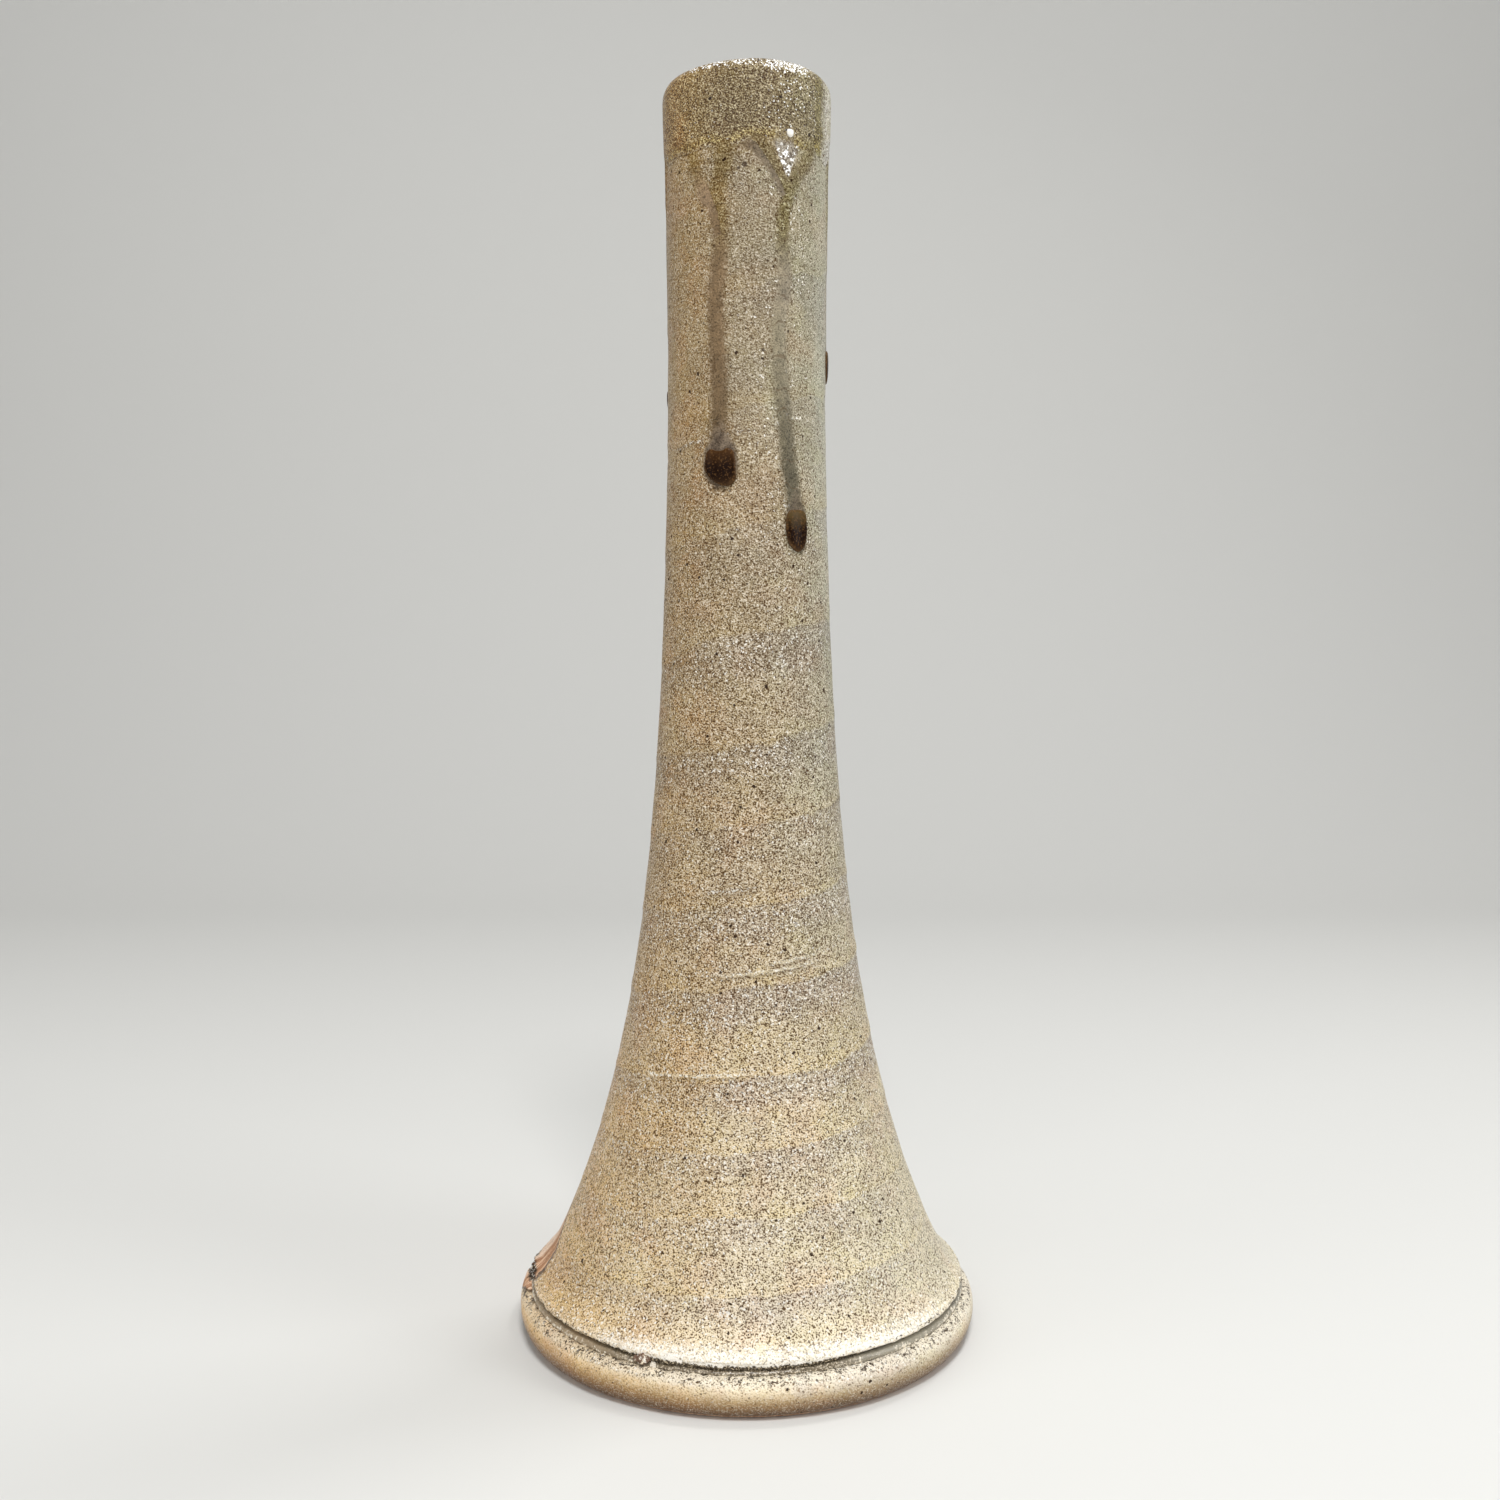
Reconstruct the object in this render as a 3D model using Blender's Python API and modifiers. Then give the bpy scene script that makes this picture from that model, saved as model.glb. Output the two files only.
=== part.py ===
"""A wheel-thrown stoneware bottle vase, built as the bodies of clay and glass that it was made from.

The wall is one turned tube: a slim neck that opens gently at the mouth and flares into a bell at the
foot. It stands on a thrown base disc whose edge is a rounded bead, and the groove scored round the foot
runs where the two were joined. Ash glaze lies thick over the lip as a collar with a scalloped edge, and
runs from it down the neck, each run ending in a fat dark drop. A crumb of clay is caught in the groove.

Metres, +Z up. The origin is the middle of the foot, on the table. The front of the vase faces -Y, and
every angle round it is in degrees from the front, positive towards +X.
"""

import math

import bmesh
import bpy
from mathutils import Vector

# ---------------------------------------------------------------------------------------------------
# Driving sizes
# ---------------------------------------------------------------------------------------------------

# The clay wall, from the table up
HEIGHT = 0.2993                  # top of the clay lip
RIM_RADIUS = 0.0199              # outside of the lip
NECK_RADIUS = 0.0179             # what the bell curve settles to, far above the foot
BELL_RADIUS = 0.0534             # the bell's lower lip, just above the groove
FLARE_LENGTH = 0.0626            # height over which the flare falls to 37 percent
MOUTH_FLARE_LENGTH = 0.0950      # how far below the top the mouth starts to open
FOOT_KICK = 0.0021               # extra spread of the bell's lip
FOOT_KICK_LENGTH = 0.0085        # height over which the lip kicks out
RIM_WALL = 0.0042
NECK_WALL = 0.0046
FOOT_WALL = 0.0070

# The groove and the rounded foot under it
GROOVE_HEIGHT = 0.0106           # middle of the groove, where wall and base meet
GROOVE_WIDTH = 0.0024
GROOVE_DEPTH = 0.0022
LIP_ROUND = 0.0007               # radius on the bell's lower lip
BEAD_PROUD = 0.0028              # how far the bead stands out beyond the bell's lip
BEAD_HEIGHT = 0.0058             # height of its widest line
BEAD_SHOULDER = 0.0002           # where the bead's top meets the groove, beyond the bell's lip
BEAD_TUCK = 0.0044               # how far the bead turns in under itself to the standing face
STANDING_WIDTH = 0.0098          # width of the ring that the vase stands on
FLOOR_THICKNESS = 0.0082
FLOOR_COVE = 0.0060              # width of the hollow curve from floor to wall
RECESS_DEPTH = 0.0013            # trimmed hollow under the foot
RECESS_BEVEL = 0.0020

# The glaze
CLEARANCE = 0.0003               # gap between bodies that touch
COLLAR_THICKNESS = 0.0004
COLLAR_LENGTH = 0.0185           # from the top of the lip to the collar's lower edge
COLLAR_INSIDE_LENGTH = 0.0120    # how far the glaze reaches down inside the mouth
SCALLOP_COUNT = 13
SCALLOP_DROP = 0.0010
SCALLOP_ANGLE = -41.0            # angle of one low point of the scalloped edge
RUN_THICKNESS = 0.0006
RUN_EDGE = 0.35                  # thickness at a run's edge, as a part of its middle
FORK_STEP = 0.00005              # how much further out an arm of a fork lies than its run
RUN_SWELL = 0.35                 # how much wider a run grows just above its drop
RUN_SWELL_POWER = 4              # higher keeps the swelling closer to the drop
DROP_THICKNESS = 0.0017
DROP_SHOULDER = 2.8              # 2 gives a drop a round top, more squares its shoulders

# The crumb of clay in the groove
CRUMB_ANGLE = -25.6
CRUMB_LENGTH = 0.0034            # along the groove
CRUMB_REACH = 0.0026             # outwards
CRUMB_LUMP = 0.12                # depth of its lumps, as a part of its size
CRUMB_WAVES = (9.0, 11.0, 7.0)   # how closely the lumps follow each other along its three axes

# How finely the round shapes are divided
TURN_STEPS = 64
MOUTH_ROWS = 4                   # rows outside, where the mouth opens
BELL_ROWS = 12                   # below them, down the neck and the bell
KICK_ROWS = 4                    # and over the kick of the bell's lip
INSIDE_ROWS = 12
ROW_CROWDING = 0.75              # under 1 draws the rows together towards the foot
ARC_STEPS = 4
CORNER_STEPS = 3
UNDER_BEAD_STEPS = 6
LIP_STEPS = 6
COLLAR_INSIDE_ROWS = 2
COLLAR_OUTSIDE_ROWS = 3
RUN_COLUMNS = 4
RUN_ROW_LENGTH = 0.0045
DROP_SEGMENTS = 16
DROP_RINGS = 10
PATH_SAMPLES = 200
EDGE_SAMPLES = 4
SHARP_ANGLE = math.radians(40)

# The runs, each with its width, the path of its middle, the arms that fork from it and its drop. Depths
# are measured down from the collar's lower edge, so a path is a list of (depth, angle) points. A run and
# an arm start at the collar's edge, an arm ends where it joins its run, and a run ends at its drop.
RUNS = {
    "front_left": {
        "width": 0.0040,
        "top_angle": -15.5,
        "path": [(0.0078, -20.5), (0.0168, -17.5), (0.0368, -22.5), (0.0498, -19.5)],
        "arms": [{"top_angle": -41.0, "path": [(0.0083, -34.5), (0.0128, -24.5)], "joins": 0.0198}],
        "drop": {"depth": 0.0715, "angle": -18.5, "width": 0.0076, "length": 0.0084},
    },
    "front_right": {
        "width": 0.0038,
        "top_angle": 14.0,
        "path": [(0.0058, 27.0), (0.0178, 26.0), (0.0298, 29.0), (0.0398, 23.0), (0.0618, 29.0)],
        "arms": [{"top_angle": 47.0, "path": [(0.0033, 37.5)], "joins": 0.0108}],
        "drop": {"depth": 0.0858, "angle": 36.0, "width": 0.0068, "length": 0.0096},
    },
    "right_side": {
        "width": 0.0034,
        "top_angle": 82.0,
        "path": [(0.0148, 87.0), (0.0298, 91.0)],
        "arms": [],
        "drop": {"depth": 0.0451, "angle": 92.0, "width": 0.0066, "length": 0.0078},
    },
    "left_side": {
        "width": 0.0030,
        "top_angle": -82.0,
        "path": [(0.0158, -90.0), (0.0348, -94.0)],
        "arms": [],
        "drop": {"depth": 0.0526, "angle": -96.0, "width": 0.0054, "length": 0.0062},
    },
}


# ---------------------------------------------------------------------------------------------------
# The curves that every piece is measured from
# ---------------------------------------------------------------------------------------------------

LIP_HEIGHT = GROOVE_HEIGHT + GROOVE_WIDTH / 2 + LIP_ROUND
GROOVE_FLOOR_RADIUS = BELL_RADIUS - GROOVE_DEPTH
BEAD_RADIUS = BELL_RADIUS + BEAD_PROUD
STANDING_RADIUS = BEAD_RADIUS - BEAD_TUCK
COLLAR_BOTTOM = HEIGHT - COLLAR_LENGTH - SCALLOP_DROP


def bell_flare(height):
    """How far the bell stands out beyond the neck: it dies away upwards as an exponential."""
    spread = BELL_RADIUS - FOOT_KICK - NECK_RADIUS
    return spread * math.exp(-(height - LIP_HEIGHT) / FLARE_LENGTH)


def wall_radius(height):
    """Outside radius of the clay wall at a height."""
    radius = NECK_RADIUS + bell_flare(height)
    mouth_start = HEIGHT - MOUTH_FLARE_LENGTH
    if height > mouth_start:
        opening = RIM_RADIUS - NECK_RADIUS - bell_flare(HEIGHT)
        radius += opening * ((height - mouth_start) / MOUTH_FLARE_LENGTH) ** 2
    kick_top = LIP_HEIGHT + FOOT_KICK_LENGTH
    if height < kick_top:
        radius += FOOT_KICK * ((kick_top - height) / FOOT_KICK_LENGTH) ** 2
    return radius


def wall_thickness(height):
    """Thick at the foot, thin in the neck, thinner still where the lip was drawn up."""
    extra = (FOOT_WALL - NECK_WALL) * math.exp(-(height - LIP_HEIGHT) / FLARE_LENGTH)
    up_the_mouth = max(0.0, 1.0 - (HEIGHT - height) / MOUTH_FLARE_LENGTH)
    return NECK_WALL + extra - (NECK_WALL - RIM_WALL) * up_the_mouth


def inner_radius(height):
    """Inside radius of the clay wall. It leaves out the kick, which is only pressed into the outside."""
    kick_top = LIP_HEIGHT + FOOT_KICK_LENGTH
    kick = 0.0
    if height < kick_top:
        kick = FOOT_KICK * ((kick_top - height) / FOOT_KICK_LENGTH) ** 2
    return wall_radius(height) - kick - wall_thickness(height)


def on_wall(angle, height, proud):
    """The point at an angle in degrees and a height, standing proud of the clay's outside."""
    radius = wall_radius(height) + proud
    turn = math.radians(angle)
    return Vector((radius * math.sin(turn), -radius * math.cos(turn), height))


def spaced(start, end, rows, crowding=1.0):
    """Values from the one after start down or up to end, closer together towards the end."""
    return [start + (end - start) * (row / rows) ** crowding for row in range(1, rows + 1)]


def arc(middle, radii, start, end, steps=ARC_STEPS):
    """Points (radius, height) on part of an ellipse, from one angle in degrees to another."""
    points = []
    for step in range(steps + 1):
        turn = math.radians(start + (end - start) * step / steps)
        points.append((middle[0] + radii[0] * math.cos(turn), middle[1] + radii[1] * math.sin(turn)))
    return points


def smooth_through(points, t):
    """The point at t, from 0 to 1, on a Catmull-Rom curve through a list of (height, angle) pairs."""
    last = len(points) - 1
    place = min(t * last, last - 1e-9)
    index = int(place)
    local = place - index
    around = [points[min(max(index + shift, 0), last)] for shift in (-1, 0, 1, 2)]
    result = []
    for before, here, after, beyond in zip(*around):
        result.append(0.5 * (
            2 * here
            + (after - before) * local
            + (2 * before - 5 * here + 4 * after - beyond) * local ** 2
            + (3 * here - before - 3 * after + beyond) * local ** 3
        ))
    return result


def collar_edge(angle):
    """Height of the collar's scalloped lower edge at an angle in degrees."""
    wave = math.cos(math.radians(SCALLOP_COUNT * (angle - SCALLOP_ANGLE)))
    return COLLAR_BOTTOM + SCALLOP_DROP * (0.5 - 0.5 * wave)


def angle_at(path, height):
    """The angle at which a path of (height, angle) points passes a height."""
    samples = [smooth_through(path, step / PATH_SAMPLES) for step in range(PATH_SAMPLES + 1)]
    return min(samples, key=lambda point: abs(point[0] - height))[1]


# ---------------------------------------------------------------------------------------------------
# Building helpers
# ---------------------------------------------------------------------------------------------------

def clear_scene():
    for thing in list(bpy.data.objects):
        bpy.data.objects.remove(thing)
    for collection in list(bpy.data.collections):
        bpy.data.collections.remove(collection)


def new_collection(name):
    collection = bpy.data.collections.new(name)
    bpy.context.scene.collection.children.link(collection)
    return collection


def make_material(name, color, roughness, metallic=0.0):
    material = bpy.data.materials.new(name)
    material.use_nodes = True
    shader = material.node_tree.nodes["Principled BSDF"]
    shader.inputs["Base Color"].default_value = (*color, 1.0)
    shader.inputs["Roughness"].default_value = roughness
    shader.inputs["Metallic"].default_value = metallic
    return material


def add_object(name, mesh, collection, material):
    thing = bpy.data.objects.new(name, mesh)
    collection.objects.link(thing)
    mesh.materials.append(material)
    mesh.shade_smooth()
    mesh.set_sharp_from_angle(angle=SHARP_ANGLE)
    return thing


def profile_mesh(name, profile, closed):
    """A line of points (radius, height) in the XZ plane, ready to be turned."""
    edges = [(index, index + 1) for index in range(len(profile) - 1)]
    if closed:
        edges.append((len(profile) - 1, 0))
    mesh = bpy.data.meshes.new(name)
    mesh.from_pydata([(radius, 0.0, height) for radius, height in profile], edges, [])
    return mesh


def turned_mesh(name, profile, closed, collection):
    """The profile turned once round Z, as on the wheel."""
    outline = bpy.data.objects.new(name, profile_mesh(name + "_profile", profile, closed))
    collection.objects.link(outline)
    screw = outline.modifiers.new("Turn", "SCREW")
    screw.axis = "Z"
    screw.angle = math.tau
    screw.steps = TURN_STEPS
    screw.render_steps = TURN_STEPS
    screw.use_merge_vertices = True
    screw.merge_threshold = 0.00001
    bpy.context.view_layer.update()
    evaluated = outline.evaluated_get(bpy.context.evaluated_depsgraph_get())
    mesh = bpy.data.meshes.new_from_object(evaluated)
    bpy.data.objects.remove(outline)
    mesh.name = name
    return mesh


def thicken(thing, thickness, edge_share=1.0):
    """Gives an open surface its thickness, outwards only, thinner where its weights are low."""
    solidify = thing.modifiers.new("Thickness", "SOLIDIFY")
    solidify.thickness = thickness
    solidify.offset = 1.0
    solidify.use_rim = True
    if "middle" in thing.vertex_groups:
        solidify.vertex_group = "middle"
        solidify.thickness_vertex_group = edge_share


# ---------------------------------------------------------------------------------------------------
# The clay
# ---------------------------------------------------------------------------------------------------

def wall_profile():
    """Down the outside, in under the lip to the seam, up the inside and over the rounded rim."""
    rim_round = RIM_WALL / 2
    rim_start = HEIGHT - rim_round
    heights = [rim_start]
    heights += spaced(heights[-1], HEIGHT - MOUTH_FLARE_LENGTH, MOUTH_ROWS)
    heights += spaced(heights[-1], LIP_HEIGHT + FOOT_KICK_LENGTH, BELL_ROWS, ROW_CROWDING)
    heights += spaced(heights[-1], LIP_HEIGHT, KICK_ROWS)
    outside = [(wall_radius(height), height) for height in heights]

    lip_middle = (BELL_RADIUS - LIP_ROUND, LIP_HEIGHT)
    lip = arc(lip_middle, (LIP_ROUND, LIP_ROUND), 0, -90, CORNER_STEPS)[1:]

    half_groove = GROOVE_WIDTH / 2
    groove_middle = (GROOVE_FLOOR_RADIUS + half_groove, GROOVE_HEIGHT)
    groove = arc(groove_middle, (half_groove, half_groove), 90, 180)
    seam_height = GROOVE_HEIGHT + CLEARANCE / 2
    groove = [point for point in groove if point[1] > seam_height + CLEARANCE / 2]
    groove.append((GROOVE_FLOOR_RADIUS, seam_height))

    heights = [rim_start] + spaced(rim_start, seam_height, INSIDE_ROWS, ROW_CROWDING)
    inside = [(inner_radius(height), height) for height in reversed(heights)]

    rim_radius = (wall_radius(rim_start) - inner_radius(rim_start)) / 2
    rim_middle = (inner_radius(rim_start) + rim_radius, rim_start)
    rim = arc(rim_middle, (rim_radius, rim_round), 180, 0, LIP_STEPS)[1:-1]
    return outside + lip + groove + inside + rim


def make_wall(collection, clay):
    mesh = turned_mesh("neck_and_bell", wall_profile(), True, collection)
    return add_object("neck_and_bell", mesh, collection, clay)


def base_profile():
    """Out along the floor, over the seat and the groove, round the bead and back under the foot."""
    seat_height = GROOVE_HEIGHT - CLEARANCE / 2
    seat_inner_radius = inner_radius(seat_height)
    cove_rise = seat_height - FLOOR_THICKNESS
    cove_middle = (seat_inner_radius - FLOOR_COVE, seat_height)
    floor = [(0.0, FLOOR_THICKNESS)]
    floor += arc(cove_middle, (FLOOR_COVE, cove_rise), -90, 0)

    half_groove = GROOVE_WIDTH / 2
    groove_middle = (GROOVE_FLOOR_RADIUS + half_groove, GROOVE_HEIGHT)
    groove = arc(groove_middle, (half_groove, half_groove), 180, 270)
    groove = [point for point in groove if point[1] < seat_height - CLEARANCE / 2]
    groove.insert(0, (GROOVE_FLOOR_RADIUS, seat_height))

    shoulder_height = GROOVE_HEIGHT - half_groove
    shoulder_radius = BELL_RADIUS + BEAD_SHOULDER
    upper_size = (BEAD_RADIUS - shoulder_radius, shoulder_height - BEAD_HEIGHT)
    upper = arc((shoulder_radius, BEAD_HEIGHT), upper_size, 90, 0)
    lower = arc((STANDING_RADIUS, BEAD_HEIGHT), (BEAD_TUCK, BEAD_HEIGHT), 0, -90, UNDER_BEAD_STEPS)[1:]

    recess_radius = STANDING_RADIUS - STANDING_WIDTH
    recess = [
        (recess_radius, 0.0),
        (recess_radius - RECESS_BEVEL, RECESS_DEPTH),
        (0.0, RECESS_DEPTH),
    ]
    return floor + groove + upper + lower + recess


def make_base(collection, clay):
    mesh = turned_mesh("base_disc", base_profile(), False, collection)
    return add_object("base_disc", mesh, collection, clay)


def make_crumb(collection, clay):
    """A pebble of clay lying in the groove, held off its floor and lips by the clearance."""
    mesh = bpy.data.meshes.new("clay_crumb")
    shape = bmesh.new()
    bmesh.ops.create_icosphere(shape, subdivisions=2, radius=0.5)
    middle_radius = GROOVE_FLOOR_RADIUS + CLEARANCE + CRUMB_REACH / 2
    crumb_height = GROOVE_WIDTH - 2 * CLEARANCE
    turn_angle = math.radians(CRUMB_ANGLE)
    along = Vector((math.cos(turn_angle), math.sin(turn_angle), 0.0))
    outwards = Vector((math.sin(turn_angle), -math.cos(turn_angle), 0.0))
    middle = outwards * middle_radius + Vector((0.0, 0.0, GROOVE_HEIGHT))
    for vertex in shape.verts:
        place = vertex.co
        wave_x, wave_y, wave_z = (often * part for often, part in zip(CRUMB_WAVES, place))
        lump = math.sin(wave_x + 1.0) * math.cos(wave_y) * math.cos(wave_z + 0.5)
        size = 1.0 - CRUMB_LUMP * (0.5 + 0.5 * lump)
        vertex.co = (
            middle
            + along * (place.x * CRUMB_LENGTH * size)
            + outwards * (-place.y * CRUMB_REACH * size)
            + Vector((0.0, 0.0, place.z * crumb_height * size))
        )
    shape.to_mesh(mesh)
    shape.free()
    return add_object("clay_crumb", mesh, collection, clay)


# ---------------------------------------------------------------------------------------------------
# The glaze
# ---------------------------------------------------------------------------------------------------

def collar_profile():
    """The inner face of the glaze over the lip: up inside the mouth, over, and down the outside."""
    rim_round = RIM_WALL / 2
    rim_start = HEIGHT - rim_round
    inside_bottom = HEIGHT - COLLAR_INSIDE_LENGTH
    points = []
    for row in range(COLLAR_INSIDE_ROWS):
        height = inside_bottom + (rim_start - inside_bottom) * row / COLLAR_INSIDE_ROWS
        points.append((inner_radius(height) - CLEARANCE, height))
    half_wall = (wall_radius(rim_start) - inner_radius(rim_start)) / 2
    middle = (inner_radius(rim_start) + half_wall, rim_start)
    size = (half_wall + CLEARANCE, rim_round + CLEARANCE)
    points += arc(middle, size, 180, 0, LIP_STEPS)
    outside_bottom = HEIGHT - COLLAR_LENGTH
    for row in range(1, COLLAR_OUTSIDE_ROWS + 1):
        height = rim_start + (outside_bottom - rim_start) * row / COLLAR_OUTSIDE_ROWS
        points.append((wall_radius(height) + CLEARANCE, height))
    return points


def make_collar(collection, glaze):
    """The turned skin has its lower edge slid along the wall into scallops, then gets its thickness."""
    mesh = turned_mesh("rim_glaze_collar", collar_profile(), False, collection)
    top = HEIGHT - RIM_WALL / 2
    bottom = HEIGHT - COLLAR_LENGTH
    for vertex in mesh.vertices:
        place = vertex.co
        outside = math.hypot(place.x, place.y) > wall_radius(place.z)
        if outside and place.z < top:
            angle = math.degrees(math.atan2(place.x, -place.y))
            share = (top - place.z) / (top - bottom)
            height = top - share * (top - collar_edge(angle))
            vertex.co = on_wall(angle, height, CLEARANCE)
    collar = add_object("rim_glaze_collar", mesh, collection, glaze)
    thicken(collar, COLLAR_THICKNESS)
    return collar


def make_ribbon(name, path, width, swell, proud, collection, glaze):
    """A strip of glaze: a flat grid wrapped on the wall along the path, domed by its thickness."""
    length = path[0][0] - path[-1][0]
    rows = max(3, round(length / RUN_ROW_LENGTH))
    mesh = bpy.data.meshes.new(name)
    shape = bmesh.new()
    bmesh.ops.create_grid(shape, x_segments=RUN_COLUMNS, y_segments=rows, size=0.5)
    weights = []
    for vertex in shape.verts:
        across = vertex.co.x * 2
        along = 0.5 - vertex.co.y
        height, angle = smooth_through(path, along)
        half_width = width / 2 * (1.0 + swell * along ** RUN_SWELL_POWER)
        aside = math.degrees(across * half_width / wall_radius(height))
        vertex.co = on_wall(angle + aside, height, proud)
        weights.append(1.0 - across ** 2)
    shape.to_mesh(mesh)
    shape.free()
    ribbon = add_object(name, mesh, collection, glaze)
    middle = ribbon.vertex_groups.new(name="middle")
    for index, weight in enumerate(weights):
        middle.add([index], weight, "REPLACE")
    thicken(ribbon, RUN_THICKNESS, RUN_EDGE)
    return ribbon


def below_collar(angle, width):
    """The highest a run of this width can start at this angle and stay clear of the collar."""
    half = math.degrees(width / 2 / wall_radius(HEIGHT - COLLAR_LENGTH))
    steps = range(-EDGE_SAMPLES, EDGE_SAMPLES + 1)
    return min(collar_edge(angle + half * step / EDGE_SAMPLES) for step in steps) - CLEARANCE


def run_path(run):
    """The (height, angle) points of a run's middle, from the collar to the top of its drop."""
    drop = run["drop"]
    path = [(below_collar(run["top_angle"], run["width"]), run["top_angle"])]
    path += [(COLLAR_BOTTOM - depth, angle) for depth, angle in run["path"]]
    path.append((COLLAR_BOTTOM - drop["depth"] + drop["length"] / 2 + CLEARANCE, drop["angle"]))
    return path


def arm_path(arm, width, path):
    """The (height, angle) points of an arm's middle, from the collar to where it joins its run."""
    points = [(below_collar(arm["top_angle"], width), arm["top_angle"])]
    points += [(COLLAR_BOTTOM - depth, angle) for depth, angle in arm["path"]]
    join_height = COLLAR_BOTTOM - arm["joins"]
    points.append((join_height, angle_at(path, join_height)))
    return points


def make_run(place, run, collection, arms_collection, glaze):
    """A run from the collar to its drop, with the arms of its fork joined to it."""
    width = run["width"]
    path = run_path(run)
    ribbon = make_ribbon("glaze_run_" + place, path, width, RUN_SWELL, CLEARANCE, collection, glaze)
    for arm in run["arms"]:
        branch = make_ribbon("arm_of_" + place, arm_path(arm, width, path), width, 0.0,
                             CLEARANCE + FORK_STEP, arms_collection, glaze)
        branch.hide_render = True
        branch.display_type = "WIRE"
        union = ribbon.modifiers.new("Fork", "BOOLEAN")
        union.operation = "UNION"
        union.solver = "EXACT"
        union.object = branch
    return ribbon


def shouldered(ball):
    """How much further out a point of the ball's upper half goes, to square the drop's shoulders."""
    reach = math.hypot(ball.x, ball.z)
    if ball.z <= 0.0 or reach == 0.0:
        return 1.0
    across = abs(ball.x) / reach
    up = ball.z / reach
    return (across ** DROP_SHOULDER + up ** DROP_SHOULDER) ** (-1.0 / DROP_SHOULDER)


def make_drop(place, drop, collection, glaze):
    """A drop of glaze: a ball pressed against the wall, fullest in its upper half."""
    mesh = bpy.data.meshes.new("glaze_drop_" + place)
    shape = bmesh.new()
    bmesh.ops.create_uvsphere(shape, u_segments=DROP_SEGMENTS, v_segments=DROP_RINGS, radius=1.0)
    for vertex in shape.verts:
        ball = vertex.co.copy()
        spread = shouldered(ball)
        height = COLLAR_BOTTOM - drop["depth"] + ball.z * spread * drop["length"] / 2
        aside = math.degrees(ball.x * spread * drop["width"] / 2 / wall_radius(height))
        proud = CLEARANCE + DROP_THICKNESS * max(0.0, -ball.y)
        vertex.co = on_wall(drop["angle"] + aside, height, proud)
    shape.to_mesh(mesh)
    shape.free()
    return add_object("glaze_drop_" + place, mesh, collection, glaze)


# ---------------------------------------------------------------------------------------------------
# The vase
# ---------------------------------------------------------------------------------------------------

def main():
    clear_scene()
    vase = new_collection("stoneware_vase")
    arms = new_collection("fork_arms")

    stoneware = make_material("ash_glazed_stoneware", (0.43, 0.35, 0.23), 0.55)
    base_clay = make_material("ash_glazed_foot", (0.45, 0.37, 0.25), 0.52)
    bare_clay = make_material("bare_clay", (0.42, 0.25, 0.15), 0.85)
    collar_glaze = make_material("olive_ash_glaze", (0.24, 0.19, 0.10), 0.25)
    run_glaze = make_material("grey_ash_glaze", (0.26, 0.22, 0.15), 0.18)
    drop_glaze = make_material("dark_pooled_glaze", (0.045, 0.020, 0.007), 0.08)

    make_wall(vase, stoneware)
    make_base(vase, base_clay)
    make_crumb(vase, bare_clay)
    make_collar(vase, collar_glaze)
    for place, run in RUNS.items():
        make_run(place, run, vase, arms, run_glaze)
        make_drop(place, run["drop"], vase, drop_glaze)
    bpy.context.view_layer.update()


main()
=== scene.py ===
# %% [markdown]
# # A wheel-thrown bottle vase in ash-glazed stoneware
# The vase is a tall slim bottle: a neck that opens a little at the mouth, a bell that spreads at the foot,
# and a rounded bead under a groove. A speckled ash glaze covers it, thicker and browner over the lip, and
# from there it ran down the neck in narrow streams, each with a dark drop at its end.
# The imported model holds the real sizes. This lesson builds the pieces that are seen around it, one by one,
# and then their finishes. A length is written in millimetres and multiplied by MM.

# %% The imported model
import math
from collections import namedtuple

import bpy
import numpy as np
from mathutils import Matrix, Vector, noise


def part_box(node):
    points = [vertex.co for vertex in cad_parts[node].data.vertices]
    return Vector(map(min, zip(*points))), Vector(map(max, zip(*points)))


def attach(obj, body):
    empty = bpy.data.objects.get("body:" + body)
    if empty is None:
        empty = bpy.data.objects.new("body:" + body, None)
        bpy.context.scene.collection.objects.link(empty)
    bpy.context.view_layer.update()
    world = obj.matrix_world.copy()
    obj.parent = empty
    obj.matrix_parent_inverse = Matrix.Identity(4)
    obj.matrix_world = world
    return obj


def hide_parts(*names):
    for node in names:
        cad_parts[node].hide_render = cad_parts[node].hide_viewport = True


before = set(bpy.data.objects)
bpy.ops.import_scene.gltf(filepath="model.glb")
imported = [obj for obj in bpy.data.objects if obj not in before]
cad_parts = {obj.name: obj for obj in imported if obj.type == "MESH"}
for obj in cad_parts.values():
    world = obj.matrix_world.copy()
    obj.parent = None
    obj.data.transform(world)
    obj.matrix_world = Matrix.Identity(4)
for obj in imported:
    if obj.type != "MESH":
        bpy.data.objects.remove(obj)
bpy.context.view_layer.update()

# %% [markdown]
# ## The sizes
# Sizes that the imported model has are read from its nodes, so that the pieces seen here always lie where
# the solid ones do. The rest are the potter's own measures: how fast the bell spreads, how thick the wall
# is, how wide the groove was cut.

# %% Sizes of the clay
MM = 0.001
wall_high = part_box("neck_and_bell")[1]
TOP = wall_high.z
BELL_RADIUS = wall_high.x
BEAD_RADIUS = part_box("base_disc")[1].x

RIM_RADIUS = 19.9 * MM
NECK_RADIUS = 17.9 * MM
FLARE_LENGTH = 62.6 * MM
MOUTH_FLARE_LENGTH = 95 * MM
KICK = 2.1 * MM
KICK_LENGTH = 8.5 * MM
RIM_WALL = 4.2 * MM
NECK_WALL = 4.6 * MM
FOOT_WALL = 7.0 * MM

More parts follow.
